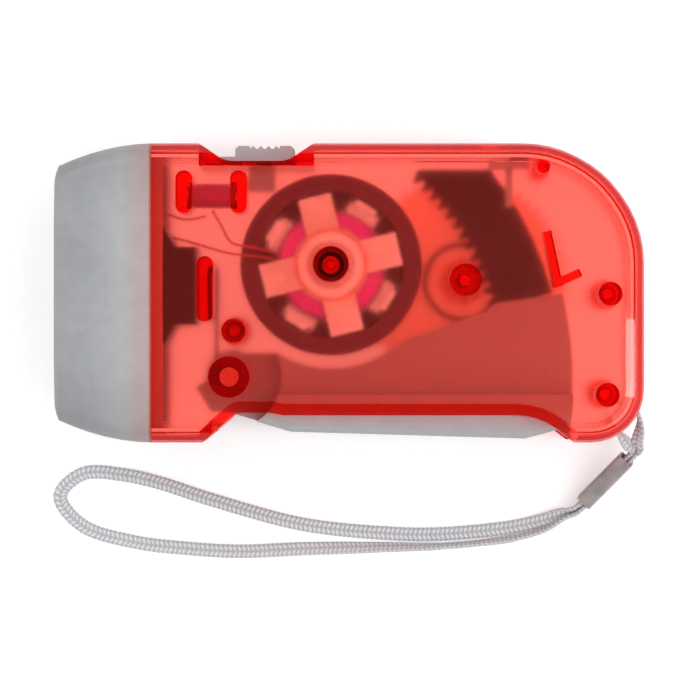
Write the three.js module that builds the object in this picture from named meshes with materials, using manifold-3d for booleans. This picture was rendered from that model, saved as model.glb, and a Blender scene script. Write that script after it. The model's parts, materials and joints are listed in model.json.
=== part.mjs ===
// A hand squeeze dynamo flashlight, lying on its back face.
// Millimetres. +X runs from the head to the tail, +Y from the grip to the switch,
// +Z from the back shell to the front shell. The origin is under the middle of the body.
import * as THREE from 'three';
import { mergeVertices } from 'three/addons/utils/BufferGeometryUtils.js';
import Module from 'manifold-3d';

const wasm = await Module();
wasm.setup();

// Overall form
const wall = 2;
const tailRoom = 12.25;
const rotorHeadroom = 3.197;
const frontRoom = 8.6;
const gearLift = 4.2;
const edgeRadius = 3.5;
const overrun = 1;
const seatGap = 0.3;
const runningGap = 0.06;
const pressGap = 0.02;

// Head
const headLength = 17.4;
const headFlare = 4.2;
const headThinning = 1;
const headFlatHalf = 12.4;
const headSideDrop = 2.2;
const headFrontRound = 0.7;
const headFrontInset = 2;
const headSections = 6;
const flarePowerShare = 1.9;
const flareLeastShare = 0.02;
const dishRadius = 30;
const dishDepth = 1.3;
const dishSetback = 0.8;
const dishOffset = 1.2;
const skirtGap = 0.15;
const skirtWall = 1.5;
const skirtReach = 2;
const skirtRoot = 1.2;
const lensRim = 1.8;
const lensRecess = 1.3;
const lensThickness = 1.6;
const lensGap = 0.15;

// Lamp
const reflectorPlate = 1;
const cupRadius = 6.2;
const cupDepth = 6;
const cupWall = 0.8;
const cupPitch = 12.8;
const cupPowerShare = 0.55;
const cupSteps = 3;
const cupSides = 20;
const ledRadius = 2.5;
const ledCollar = 2.9;
const ledCollarLength = 1;
const ledLength = 5.4;
const boardThickness = 1.2;
const boardMargin = 0.6;
const rectifierLength = 4.7;
const rectifierWidth = 3.8;
const rectifierHeight = 1.4;
const rectifierGap = 1.625;

// Black lamp holder behind the head
const holderBack = 7.7;
const holderNeck = 3.6;
const holderShoulder = 4.1;
const holderPlate = 2.2;
const holderHalfWidth = 7;
const holderShoulderHalf = 10.6;
const holderPlateHalf = 11.4;
const holderCentre = 1.2;
const holderDepth = 17;

// Scoop in the top of the housing, with the lamp switch
const scoopOffset = 8.4;
const scoopLength = 20.5;
const scoopDepth = 3.3;
const scoopRun = 4.7;
const scoopRadius = 4.5;
const scoopWall = 0.8;
const switchTravel = 2.5;
const knobLength = 10.65;
const knobLead = 1.05;
const knobWidth = 10;
const knobHeight = 3;
const knobPlate = 1;
const knobPlateLead = 2.6;
const knobPlateWidth = 12.5;
const knobTeeth = 4;
const knobToothDepth = 0.55;
const knobEndShare = 0.24;
const stemLength = 2.6;
const stemWidth = 3;
const stemReach = 3.2;
const switchLength = 4.6;
const switchHeight = 3.9;
const switchWidth = 7;
const switchSlotDepth = 2.8;
const switchInset = 3.55;

// Tail
const lowerTailRadius = 9.5;
const tailRadius = 20;
const shoulderRadius = 20;
const tailRunMid = 7.3;
const tailRunTop = 16.6;
const tailDropMid = 4.75;
const tailDropLow = 14.7;

// Lock slide in the tail's top
const lockProud = 0.25;
const lockOffset = 17.6;
const lockLength = 8.3;
const lockWidth = 9;
const lockTravel = 2.4;
const lockPocketDepth = 1.1;
const lockNeckLength = 3.6;
const lockNeckWidth = 4;
const lockPlateLength = 6.6;
const lockPlateLead = 1.2;
const lockPlateWidth = 8;
const lockPlateThickness = 1;
const lockPlateGap = 0.9;
const lockArmLength = 1.3;
const lockArmWidth = 2;
const lockArmReach = 7;
const lockRidges = 4;
const lockRidgeDepth = 0.4;

// Opening for the lever in the bottom of the housing
const openingFromCollar = 9.1;
const openingFromTail = 12.5;
const openingHeight = 4.9;
const openingRise = 0.45;
const openingRiseRun = 2.3;
const openingLeftRun = 6.1;
const openingLeftFlat = 6;
const openingRightRun = 6.2;
const openingRadius = 12;
const openingCorner = 1.5;

// Lever, from its pivot
const pivotFromCollar = 13.75;
const pivotFromBase = 11.67;
const leverEnd = 1.425;
const gripDrop = 11.1;
const gripTop = 3.2;
const gripWidth = 20;
const gripRound = 2.2;
const gripGap = 0.5;
const leverLift = 2;
const leverPlate = 5.7;
const leverBody = 5.5;
const leverHubRadius = 4.5;
const leverThinRadius = 9.3;
const leverCornerRadius = 2;
const leverWall = 2.2;
const leverSkin = 2;
const leverRibs = 4;
const pivotRadius = 1.7;
const pivotBossRadius = 3.7;
const leverSwing = 22;

// Gear train
const gearModule = 0.7;
const pressureAngle = (25 * Math.PI) / 180;
const addendumShare = 0.95;
const dedendumShare = 1.25;
const backlash = 0.1;
const sectorTeeth = 140;
const drivePinionTeeth = 10;
const driveGearTeeth = 54;
const rotorPinionTeeth = 15;
const pinionAngle = (22.3 * Math.PI) / 180;
const rotorAngle = (173.3 * Math.PI) / 180;
const sectorTeethBelow = 3;
const sectorTeethAbove = 10;
const sectorRim = 10.3;
const sectorTopGap = 2;
const sectorLift = 1.2;
const sectorThickness = 3.5;
const sectorTongueAngle = (6 * Math.PI) / 180;
const sectorTongueInset = 2.4;
const pocketGap = 0.15;
const axleRadius = 1;
const axleBossRadius = 2.9;
const driveGearWidth = 2.6;
const gearHubRadius = 3.2;
const gearRimWidth = 2.2;
const gearWebDrop = 0.6;
const drivePinionLead = 0.8;
const drivePinionOver = 0.7;
const ratchetTeeth = 8;
const ratchetRadius = 5;
const ratchetDepth = 0.9;
const ratchetWidth = 1.2;
const pawlSpan = 2.4;
const pawlBand = 1;
const pawlOpening = (50 * Math.PI) / 180;

// Rotor
const shaftRadius = 0.75;
const cupFloor = 1.6;
const cupOver = 1.2;
const cupRim = 1.3;
const magnetWall = 1.7;
const magnetInset = 0.3;
const rotorPinionLead = 0.8;
const rotorBackBossRadius = 2.6;
const rotorBossRadius = 3.2;
const rotorSpigotRadius = 2.4;
const bushRadius = 1.6;
const bushLength = 5;

// Stator
const airGap = 0.7;
const clawThickness = 0.8;
const clawArmWidth = 6;
const clawTipWidth = 4.2;
const clawTipGap = 0.8;
const clawHubRadius = 6.3;
const clawArms = 4;
const clawAngle = (13.7 * Math.PI) / 180;
const plateGap = 0.8;
const coilRoom = 7.8;
const bobbinGap = 1.6;
const bobbinFrontRadius = 6.8;
const bobbinFlange = 0.6;
const bobbinWall = 1.94;
const coilDepth = 5.3;
const coilInset = 0.5;

// Return spring
const springWire = 0.3;
const springRadius = 4.4;
const springTurns = 3;
const springTurnShare = 0.375;
const springPitch = 1.05;
const springLow = 6.4;
const springSteps = 8;
const springSides = 5;
const springLegTop = 19.8;
const springLegRun = 2.85;
const springLegRise = 7.5;
const springHairpin = 1.05;
const springLift = 0.35;
const springLeverLeg = 14;

// Bosses, screws and ribs
const screwRadius = 1;
const screwHeadRadius = 1.9;
const screwHeadGap = 0.25;
const screwHeadHeight = 1.7;
const screwLength = 14;
const screwSlotWidth = 0.7;
const screwSlotDepth = 0.8;
const counterbore = 7;
const frontBossRadius = 2.15;
const backBossRadius = 2.7;
const tailBossRise = 26.45;
const tailBossInset = 6.1;
const lowBossRise = 8.5;
const lowBossInset = 6.6;
const headBossGap = 1.96;
const headBossAngle = (214.5 * Math.PI) / 180;
const spigotRadius = 1.15;
const spigotWall = 0.6;
const spigotInset = 18;
const spigotDrop = 4.3;
const markInset = 15.4;
const markDrop = 24.8;
const markLeg = 9.3;
const markFoot = 4.4;
const markAngle = (102 * Math.PI) / 180;
const markFootAngle = (24 * Math.PI) / 180;
const markWidth = 1.45;
const markDepth = 7.5;
const ribWidth = 3;
const ribHeight = 7.6;
const ribDepth = 11;
const ribTopInset = 4.9;
const ribRadius = 1.45;
const stayDrop = 5.1;
const stayHeight = 11.6;
const stayDepth = 13.5;

// Capacitor and wires
const capacitorRadius = 2.2;
const capacitorLength = 6.7;
const capacitorOffset = 7.3;
const capacitorDrop = 9.2;
const capacitorDepth = 7;
const capacitorBead = 0.35;
const capacitorHold = 0.8;
const wireRadius = 0.2;
const wireSteps = 4;
const leadEntries = [(12.6 * Math.PI) / 180, (6.3 * Math.PI) / 180];
const leadClear = 2;
const leadRise = 0.5;
const leadStart = 3.6;
const leadOver = 1.7;
const lampLeadDrops = [0.4, 2.8, 4.2, 3.6];
const lampLeadStand = 2.6;

// Wrist strap, ferrule and the two slots in the tail's lower corner
const strapThickness = 0.8;
const strapWidth = 2.6;
const strapSteps = 78;
const strapSlotWidth = 1.9;
const strapSlotHeight = 3.6;
const strapSlotHeightAbove = 8.5;
const strapSlotAngles = [(-52 * Math.PI) / 180, (-22 * Math.PI) / 180];
const strapRest = 0.05;
const strapUprightFrom = 2.1;
const strandGap = 0.14;
const ferruleWall = 0.3;
const ferruleGap = 0.36;
const strandShares = [-0.2, 0.5, 1.2];
const ferruleFrom = [51.2, -30.4, 5.6];
const ferruleTo = [43.6, -38.4, 2.4];
const strapOutward = [[47.2, -22.4, 8.5], [48.9, -24.6, 8.5], [50.2, -26.4, 8.2], [51.4, -27.8, 7.2]];
const strapLoop = [
  [40.9, -40, 1.5], [37.1, -41.5, 0.8], [31.8, -42.9, 0.45], [25.1, -43.85, 0.45], [16.2, -44.5, 0.45],
  [8.5, -44.4, 0.45], [-8.4, -42.7, 0.45], [-26.2, -37.9, 0.45], [-35.1, -35, 0.45], [-41.8, -33.5, 0.45],
  [-49.2, -33.2, 0.45], [-53.4, -36.5, 0.45], [-53.5, -38.5, 0.45], [-49.2, -43.1, 0.45], [-39.6, -46, 0.45],
  [-30.7, -47.1, 0.45], [-20.3, -47.7, 0.45], [-8.4, -47.2, 0.8], [6, -46.9, 1.3], [16.9, -46.7, 1.41],
  [25.1, -46, 1.41], [31, -45.1, 1.41], [36.2, -43.6, 1.5], [40.2, -41.3, 1.8],
];
const strapInward = [
  [53, -27.2, 7.4], [53.4, -25.1, 8.2], [53.4, -23.1, 8.5], [52.75, -21.5, 8.5], [51.2, -20.6, 8.5], [49, -19.67, 8.5],
];

// Face counts
const arcStep = (15 * Math.PI) / 180;
const fineArcFrom = 6;
const edgeSteps = 3;
const wheelSides = 56;
const windingSides = 40;
const boreSides = 20;
const smallSides = 16;
const wireSides = 8;
const weld = 1e-4;
const leastDetail = 0.004;
const leastRadius = 0.05;

// Heights worked out from the sizes above, each piece on the one below
const driveGearLow = wall + gearLift;
const driveGearHigh = driveGearLow + driveGearWidth;
const ratchetLow = driveGearHigh + seatGap;
const ratchetHigh = ratchetLow + ratchetWidth;
const leverPlateLow = driveGearHigh + leverLift;
const leverPlateHigh = leverPlateLow + leverPlate;
const leverBodyHigh = leverPlateHigh + leverBody;
const sectorLow = leverPlateLow + sectorLift;
const sectorHigh = sectorLow + sectorThickness;
const drivePinionLow = sectorLow - drivePinionLead;
const drivePinionHigh = sectorHigh + drivePinionOver;
const rotorPinionLow = driveGearLow - rotorPinionLead;
const cupLow = ratchetHigh + seatGap;
const backPlateLow = cupLow + cupFloor + plateGap;
const frontPlateLow = backPlateLow + clawThickness + coilRoom;
const frontPlateHigh = frontPlateLow + clawThickness;
const cupHigh = frontPlateHigh + cupOver;
const ceilingZ = frontPlateHigh + frontRoom;
const bodyDepth = ceilingZ + wall;
const seamZ = bodyDepth / 2;

// Radii of the dynamo, worked out from its middle to its rim
const bobbinCore = rotorSpigotRadius + runningGap + bobbinWall;
const coilRadius = bobbinCore + coilDepth;
const bobbinRadius = coilRadius + coilInset;
const clawReach = bobbinRadius + bobbinGap + clawThickness;
const clawLength = coilRoom - clawTipGap;
const magnetInner = clawReach + airGap;
const cupInner = magnetInner + magnetWall;
const rotorRadius = cupInner + cupRim;

// Lengths and heights worked out from the gear train
const sectorPitch = (gearModule * sectorTeeth) / 2;
const sectorOuter = sectorPitch + gearModule * dedendumShare + sectorRim;
const pinionDistance = (gearModule * (sectorTeeth - drivePinionTeeth)) / 2;
const rotorDistance = (gearModule * (driveGearTeeth + rotorPinionTeeth)) / 2;
const leverReach = sectorOuter + leverEnd;
const rotorRise = pivotFromBase + pinionDistance * Math.sin(pinionAngle) + rotorDistance * Math.sin(rotorAngle);
const bodyLength = headLength + pivotFromCollar + leverReach + tailRoom;
const bodyHeight = rotorRise + rotorRadius + rotorHeadroom + wall + lockProud;

// Places worked out from these
const frontX = -bodyLength / 2;
const tailX = bodyLength / 2;
const collarX = frontX + headLength;
const baseY = -bodyHeight / 2;
const topY = bodyHeight / 2 - lockProud;
const pivot = { x: collarX + pivotFromCollar, y: baseY + pivotFromBase };
const axle = polar(pinionDistance, pinionAngle, pivot);
const rotor = polar(rotorDistance, rotorAngle, axle);
const scoopLeft = collarX + scoopOffset;
const scoopRight = scoopLeft + scoopLength;
const scoopFloor = topY - scoopDepth;
const openingLeft = collarX + openingFromCollar;
const openingRight = tailX - openingFromTail;
const openingY = baseY + openingHeight;
const headMiddleY = (topY + baseY) / 2;
const capacitorLeft = collarX + capacitorOffset;
const capacitorY = topY - capacitorDrop;
const capacitorZ = ceilingZ - capacitorDepth;
const screwPlaces = [
  polar(rotorRadius + headBossGap + backBossRadius, headBossAngle, rotor),
  { x: tailX - tailBossInset, y: baseY + tailBossRise },
  { x: tailX - lowBossInset, y: baseY + lowBossRise },
];
const spigotPlace = { x: tailX - spigotInset, y: topY - spigotDrop };
const cornerCentre = { x: tailX - lowerTailRadius, y: baseY + lowerTailRadius };

// Flat points and outlines

function polar(radius, angle, centre = { x: 0, y: 0 }) {
  return new THREE.Vector2(centre.x + radius * Math.cos(angle), centre.y + radius * Math.sin(angle));
}

function box(low, high) {
  return [
    new THREE.Vector2(low[0], low[1]),
    new THREE.Vector2(high[0], low[1]),
    new THREE.Vector2(high[0], high[1]),
    new THREE.Vector2(low[0], high[1]),
  ];
}

function sector(inner, outer, from, to, centre) {
  const steps = Math.max(2, Math.ceil((to - from) / arcStep));
  const points = [];
  for (let i = 0; i <= steps; i += 1) {
    points.push(polar(outer, from + ((to - from) * i) / steps, centre));
  }
  for (let i = steps; i >= 0; i -= 1) {
    points.push(polar(inner, from + ((to - from) * i) / steps, centre));
  }
  return points;
}

// Moves a counterclockwise outline inwards and rounds its corners
function roundedOutline(corners, inset = 0) {
  const points = [];
  corners.forEach((corner, index) => {
    const before = corners[(index + corners.length - 1) % corners.length];
    const after = corners[(index + 1) % corners.length];
    const arriving = new THREE.Vector2(corner.x - before.x, corner.y - before.y).normalize();
    const leaving = new THREE.Vector2(after.x - corner.x, after.y - corner.y).normalize();
    const turn = Math.atan2(arriving.cross(leaving), arriving.dot(leaving));
    const inward = new THREE.Vector2(-arriving.y - leaving.y, arriving.x + leaving.x).normalize();
    const tip = inward.multiplyScalar(inset / Math.cos(turn / 2)).add(new THREE.Vector2(corner.x, corner.y));
    if (!corner.r) {
      points.push(tip);
      return;
    }
    const radius = Math.max(leastRadius, corner.r - inset * Math.sign(turn));
    const start = tip.clone().addScaledVector(arriving, -radius * Math.tan(Math.abs(turn) / 2));
    const spoke = new THREE.Vector2(arriving.y, -arriving.x).multiplyScalar(radius * Math.sign(turn));
    const centre = start.clone().sub(spoke);
    const step = arcStep * Math.sqrt(fineArcFrom / Math.max(fineArcFrom, corner.r));
    const steps = Math.max(1, Math.ceil(Math.abs(turn) / step));
    for (let i = 0; i <= steps; i += 1) {
      points.push(spoke.clone().rotateAround(new THREE.Vector2(), (turn * i) / steps).add(centre));
    }
  });
  return points;
}

// Solids

function solidFrom(geometry) {
  const bare = geometry.clone();
  Object.keys(bare.attributes).filter((key) => key !== 'position').forEach((key) => bare.deleteAttribute(key));
  const merged = mergeVertices(bare, weld);
  const place = merged.attributes.position.array;
  const corners = [];
  for (let i = 0; i < merged.index.count; i += 3) {
    const [a, b, c] = merged.index.array.slice(i, i + 3);
    if (a !== b && b !== c && c !== a) {
      corners.push(a, b, c);
    }
  }
  const volume = signedVolume(place, corners);
  const facing = volume < 0 ? corners.reverse() : corners;
  return new wasm.Manifold(new wasm.Mesh({
    numProp: 3,
    vertProperties: new Float32Array(place),
    triVerts: new Uint32Array(facing),
  }));
}

function signedVolume(place, corners) {
  const at = (index) => new THREE.Vector3().fromArray(place, index * 3);
  let volume = 0;
  for (let i = 0; i < corners.length; i += 3) {
    volume += at(corners[i]).dot(at(corners[i + 1]).cross(at(corners[i + 2])));
  }
  return volume;
}

function prism(outline, low, high) {
  const geometry = new THREE.ExtrudeGeometry(new THREE.Shape(outline), { depth: high - low, bevelEnabled: false });
  return solidFrom(geometry.translate(0, 0, low));
}

function block(low, high) {
  return prism(box(low, high), low[2], high[2]);
}

function rod(centre, radius, low, high, sides = boreSides) {
  const geometry = new THREE.CylinderGeometry(radius, radius, high - low, sides);
  geometry.rotateX(Math.PI / 2).translate(centre.x, centre.y, (low + high) / 2);
  return solidFrom(geometry);
}

// A profile of [radius, height] pairs turned about an upright axis
function turned(profile, centre, sides = wheelSides) {
  const closed = profile[0][0] === 0 ? profile : [...profile, profile[0]];
  const geometry = new THREE.LatheGeometry(closed.map(([r, z]) => new THREE.Vector2(r, z)), sides);
  return solidFrom(geometry.rotateX(Math.PI / 2).translate(centre.x, centre.y, 0));
}

// Joins outlines with equal counts of points, each put in space by its own placing function
function loft(layers) {
  const count = layers[0].outline.length;
  const place = [];
  const corners = [];
  layers.forEach(({ outline, at }) => outline.forEach((point) => place.push(...at(point))));
  for (let k = 0; k < layers.length - 1; k += 1) {
    for (let i = 0; i < count; i += 1) {
      const a = k * count + i;
      const b = k * count + ((i + 1) % count);
      corners.push(a, b, b + count, a, b + count, a + count);
    }
  }
  const last = (layers.length - 1) * count;
  THREE.ShapeUtils.triangulateShape(layers[0].outline, []).forEach(([a, b, c]) => corners.push(c, b, a));
  THREE.ShapeUtils.triangulateShape(layers[layers.length - 1].outline, []).forEach(([a, b, c]) => {
    corners.push(last + a, last + b, last + c);
  });
  const geometry = new THREE.BufferGeometry();
  geometry.setAttribute('position', new THREE.BufferAttribute(new Float32Array(place), 3));
  geometry.setIndex(corners);
  return solidFrom(geometry);
}

function joined(...solids) {
  return solids.reduce((whole, solid) => whole.add(solid));
}

function cut(solid, ...tools) {
  return tools.reduce((whole, tool) => whole.subtract(tool), solid);
}

// A hole whose flats stay clear of the round shaft that turns in it
function boreFor(radius, gap = runningGap, sides = boreSides) {
  return (radius + gap) / Math.cos(Math.PI / sides);
}

// Gears

function involute(angle) {
  return Math.tan(angle) - angle;
}

// Half the angle that an outward tooth fills at a radius
function halfTooth(teeth, radius) {
  const pitch = (gearModule * teeth) / 2;
  const base = pitch * Math.cos(pressureAngle);
  const lean = radius > base ? Math.acos(base / radius) : 0;
  return Math.PI / (2 * teeth) + involute(pressureAngle) - involute(lean) - backlash / (4 * pitch);
}

const flankShares = [0, 0.5, 1];

function gearOutline(teeth, phase, centre) {
  const root = (gearModule * teeth) / 2 - gearModule * dedendumShare;
  const tip = (gearModule * teeth) / 2 + gearModule * addendumShare;
  const levels = flankShares.map((share) => root + share * (tip - root));
  const points = [];
  for (let i = 0; i < teeth; i += 1) {
    const middle = phase + (2 * Math.PI * i) / teeth;
    levels.forEach((radius) => points.push(polar(radius, middle - halfTooth(teeth, radius), centre)));
    levels.toReversed().forEach((radius) => points.push(polar(radius, middle + halfTooth(teeth, radius), centre)));
  }
  return points;
}

// Half the angle that an inward tooth of the sector fills at a radius
function halfInnerTooth(radius) {
  return Math.PI / sectorTeeth - halfTooth(sectorTeeth, radius) - backlash / (2 * sectorPitch);
}

function sectorToothAngle(index) {
  return pinionAngle + ((index + 0.5) * 2 * Math.PI) / sectorTeeth;
}

function sectorOutline() {
  const toothAngle = (2 * Math.PI) / sectorTeeth;
  const root = sectorPitch + gearModule * dedendumShare;
  const tip = sectorPitch - gearModule * addendumShare;
  const levels = flankShares.map((share) => root + share * (tip - root));
  const low = sectorToothAngle(-sectorTeethBelow) - toothAngle / 2;
  const high = sectorToothAngle(sectorTeethAbove) - toothAngle / 2;
  const steps = Math.ceil((high - low) / (toothAngle * 2));
  const points = [];
  for (let i = steps; i >= 0; i -= 1) {
    points.push(polar(sectorOuter, low + ((high - low) * i) / steps, pivot));
  }
  points.push(polar(root, low, pivot));
  for (let i = -sectorTeethBelow; i < sectorTeethAbove; i += 1) {
    const middle = sectorToothAngle(i);
    levels.forEach((radius) => points.push(polar(radius, middle - halfInnerTooth(radius), pivot)));
    levels.toReversed().forEach((radius) => points.push(polar(radius, middle + halfInnerTooth(radius), pivot)));
  }
  return points;
}

// Housing

function housingCorners() {
  const left = collarX - 3 * edgeRadius;
  return [
    { x: left, y: baseY },
    { x: tailX, y: baseY, r: lowerTailRadius },
    { x: tailX, y: topY - tailDropLow, r: tailRadius },
    { x: tailX - tailRunMid, y: topY - tailDropMid, r: tailRadius },
    { x: tailX - tailRunTop, y: topY, r: shoulderRadius },
    { x: left, y: topY },
  ];
}

function scoopCorners() {
  const lead = (overrun * scoopRun) / scoopDepth;
  return [
    { x: scoopLeft + scoopRun, y: scoopFloor, r: scoopRadius },
    { x: scoopRight - scoopRun, y: scoopFloor, r: scoopRadius },
    { x: scoopRight + lead, y: topY + overrun },
    { x: scoopLeft - lead, y: topY + overrun },
  ];
}

function openingCorners() {
  const leftLead = (overrun * openingLeftRun) / openingHeight;
  const rightLead = (overrun * openingRightRun) / openingHeight;
  const flat = openingLeft + openingLeftRun + openingLeftFlat;
  return [
    { x: openingLeft - leftLead, y: baseY - overrun },
    { x: openingRight + rightLead, y: baseY - overrun },
    { x: openingRight - openingRightRun, y: openingY, r: openingRadius },
    { x: flat + openingRiseRun, y: openingY },
    { x: flat, y: openingY + openingRise },
    { x: openingLeft + openingLeftRun, y: openingY + openingRise, r: openingCorner },
  ];
}

// One half of a form with a rounded edge, from past the seam down to a face
function halfForm(corners, inset, radius, face, front) {
  const flip = (height) => (front ? bodyDepth - height : height);
  const layers = [{ outline: roundedOutline(corners, inset), at: (p) => [p.x, p.y, flip(seamZ)] }];
  for (let i = 0; i <= edgeSteps; i += 1) {
    const angle = (Math.PI / 2) * (i / edgeSteps);
    const drawIn = inset + radius * (1 - Math.cos(angle));
    const height = face + radius * (1 - Math.sin(angle));
    layers.push({ outline: roundedOutline(corners, drawIn), at: (p) => [p.x, p.y, flip(height)] });
  }
  return loft(layers);
}

function shellHalf(front) {
  const low = -overrun;
  const high = bodyDepth + overrun;
  const outer = halfForm(housingCorners(), 0, edgeRadius, 0, front);
  const inner = halfForm(housingCorners(), wall, edgeRadius - wall, wall, front);
  const hollow = cut(
    inner,
    block([scoopLeft, scoopFloor - scoopWall, low], [scoopRight, topY + overrun, high]),
    prism(roundedOutline(openingCorners(), -wall), low, high),
  );
  const leverHalf = gripWidth / 2 + gripGap;
  const leverSlot = prism(
    box([openingLeft + openingLeftRun / 4, baseY - overrun], [openingRight + gripGap, openingY + 2 * wall]),
    seamZ - leverHalf,
    seamZ + leverHalf,
  );
  return cut(
    outer,
    hollow,
    prism(roundedOutline(scoopCorners()), low, high),
    prism(roundedOutline(openingCorners()), low, high),
    leverSlot,
    block([collarX - 4 * edgeRadius, baseY - overrun, low], [collarX, topY + overrun, high]),
  );
}

// A slot that a sliding piece moves along, towards the head, between two corners
function slideSlot(low, high, halfWidth, travel) {
  return block(
    [low[0] - travel - seatGap, low[1], seamZ - halfWidth - seatGap],
    [high[0] + seatGap, high[1], seamZ + halfWidth + seatGap],
  );
}

function topSlots() {
  const knob = knobPlace();
  const lock = lockPlace();
  return joined(
    slideSlot([knob.plateLeft, scoopFloor], [knob.right, knob.plateHigh + seatGap], knobPlateWidth / 2, switchTravel),
    slideSlot([knob.stemLeft, scoopFloor - 2 * wall], [knob.stemLeft + stemLength, knob.plateHigh], stemWidth / 2, switchTravel),
    slideSlot([lock.left, topY - lockPocketDepth], [lock.right, topY + overrun], lockWidth / 2, lockTravel),
    slideSlot([lock.neckLeft, topY - 2 * wall], [lock.neckLeft + lockNeckLength, topY], lockNeckWidth / 2, lockTravel),
  );
}

function knobPlace() {
  const right = scoopRight - scoopRun + knobLead;
  const left = right - knobLength;
  const plateLow = scoopFloor + seatGap;
  return {
    left,
    right,
    plateLeft: left - knobPlateLead,
    plateLow,
    plateHigh: plateLow + knobPlate,
    stemLeft: (left + right - stemLength) / 2,
  };
}

function lockPlace() {
  const right = tailX - lockOffset;
  const left = right - lockLength;
  return { left, right, neckLeft: (left + right - lockNeckLength) / 2 };
}

function strapSlots() {
  const half = strapSlotWidth / 2;
  const slots = strapSlotAngles.map((angle) => {
    const outline = box([lowerTailRadius - 2 * wall, -half], [lowerTailRadius + overrun, half]);
    const turnedOutline = outline.map((point) => point.rotateAround(new THREE.Vector2(), angle).add(cornerCentre));
    const low = strapSlotHeightAbove - strapSlotHeight / 2;
    return prism(turnedOutline, low, low + strapSlotHeight);
  });
  return joined(...slots);
}

function stadium(left, low, width, height) {
  const corner = (x, y) => ({ x, y, r: ribRadius });
  return roundedOutline([
    corner(left, low),
    corner(left + width, low),
    corner(left + width, low + height),
    corner(left, low + height),
  ]);
}

// A bent rib that marks this half of the housing
function markRib() {
  const corner = { x: tailX - markInset, y: topY - markDrop };
  const half = markWidth / 2;
  const bars = [[markLeg, markAngle], [markFoot, markFootAngle]].map(([length, angle]) => {
    const bar = box([-half, -half], [length, half]);
    return bar.map((point) => point.rotateAround(new THREE.Vector2(), angle).add(corner));
  });
  return joined(...bars.map((bar) => prism(bar, ceilingZ - markDepth, ceilingZ + overrun)));
}

// Two ribs that hold the capacitor between them, and a stay behind the lamp holder
function frontRibs() {
  const up = ceilingZ + overrun;
  const ribLow = topY - ribTopInset - ribHeight;
  const seatDepth = capacitorHold + seatGap;
  const pocket = rod({ x: 0, y: 0 }, capacitorRadius + seatGap / 2, 0, capacitorLength + 2 * seatDepth, smallSides);
  const seat = pocket.rotate([0, 90, 0]).translate([capacitorLeft - seatDepth, capacitorY, capacitorZ]);
  const sides = [capacitorLeft - ribWidth, capacitorLeft + capacitorLength];
  const ribs = sides.map((left) => prism(stadium(left, ribLow, ribWidth, ribHeight), ceilingZ - ribDepth, up));
  const stayLeft = collarX + holderBack + seatGap;
  const stay = prism(stadium(stayLeft, headMiddleY - stayDrop, ribWidth, stayHeight), ceilingZ - stayDepth, up);
  return joined(cut(joined(...ribs), seat), stay);
}

function frontShell() {
  const up = ceilingZ + overrun;
  const bosses = [
    rod(pivot, pivotBossRadius, leverPlateHigh + seatGap, up),
    rod(axle, axleBossRadius, drivePinionHigh + seatGap, up),
    rod(rotor, rotorBossRadius, frontPlateHigh, up),
    rod(rotor, rotorSpigotRadius, backPlateLow, up),
    rod(spigotPlace, spigotRadius, seamZ - wall, up, smallSides),
    ...screwPlaces.map((place) => rod(place, frontBossRadius, seamZ, up)),
  ];
  const holes = [
    rod(pivot, boreFor(pivotRadius, pressGap), seamZ - overrun, ceilingZ - wall),
    rod(axle, boreFor(axleRadius), seamZ - overrun, ceilingZ - 4 * wall),
    rod(rotor, boreFor(bushRadius, pressGap), backPlateLow - overrun, backPlateLow + bushLength),
    rod(rotor, boreFor(shaftRadius), backPlateLow, shaftHigh() + seatGap, smallSides),
    ...screwPlaces.map((place) => rod(place, boreFor(screwRadius), seamZ - overrun, screwTop() + seatGap, smallSides)),
  ];
  return cut(joined(shellHalf(true), ...bosses, frontRibs(), markRib()), ...holes, topSlots());
}

function screwTop() {
  return counterbore + screwLength;
}

function shaftHigh() {
  return frontPlateLow + wall;
}

function backShell() {
  const down = wall - overrun;
  const bosses = [
    rod(pivot, pivotBossRadius, down, leverPlateLow - seatGap),
    rod(axle, axleBossRadius, down, driveGearLow - seatGap),
    rod(rotor, rotorBackBossRadius, down, rotorPinionLow - seatGap),
    rod(spigotPlace, spigotRadius + spigotWall, down, seamZ, smallSides),
    ...screwPlaces.map((place) => rod(place, backBossRadius, down, seamZ)),
  ];
  const holes = [
    rod(pivot, boreFor(pivotRadius, pressGap), 2 * wall, seamZ),
    rod(axle, boreFor(axleRadius), wall, seamZ),
    rod(rotor, boreFor(shaftRadius), wall, seamZ, smallSides),
    rod(spigotPlace, boreFor(spigotRadius), seamZ - 2 * wall, seamZ + overrun, smallSides),
    ...screwPlaces.map((place) => rod(place, boreFor(screwRadius), -overrun, seamZ + overrun, smallSides)),
    ...screwPlaces.map((place) => rod(place, screwHeadRadius + screwHeadGap, -overrun, counterbore)),
  ];
  return cut(joined(shellHalf(false), ...bosses), ...holes, topSlots(), strapSlots());
}

// Head. Its cross sections lie in planes across X; a flat point's x is Y and its y is Z.

function headShare(x) {
  return (collarX - x) / headLength;
}

function headCorners(share) {
  const taper = share ** flarePowerShare;
  const half = (topY - baseY) / 2 - headFlare * taper;
  const depth = seamZ - headThinning * taper;
  const drop = depth - headSideDrop * share;
  const corner = (y, z, r) => ({ x: y, y: z, r });
  return [
    corner(-headFlatHalf, -depth, edgeRadius),
    corner(headFlatHalf, -depth, edgeRadius),
    corner(half, -drop, edgeRadius),
    corner(half, drop, edgeRadius),
    corner(headFlatHalf, depth, edgeRadius),
    corner(-headFlatHalf, depth, edgeRadius),
    corner(-half, drop, edgeRadius),
    corner(-half, -drop, edgeRadius),
  ];
}

function headLayer(x, inset) {
  const share = Math.max(0, Math.min(1, headShare(x)));
  const nudged = Math.max(share, flareLeastShare);
  return {
    outline: roundedOutline(headCorners(nudged), inset),
    at: (p) => [x, headMiddleY + p.x, seamZ + p.y],
  };
}

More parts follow.
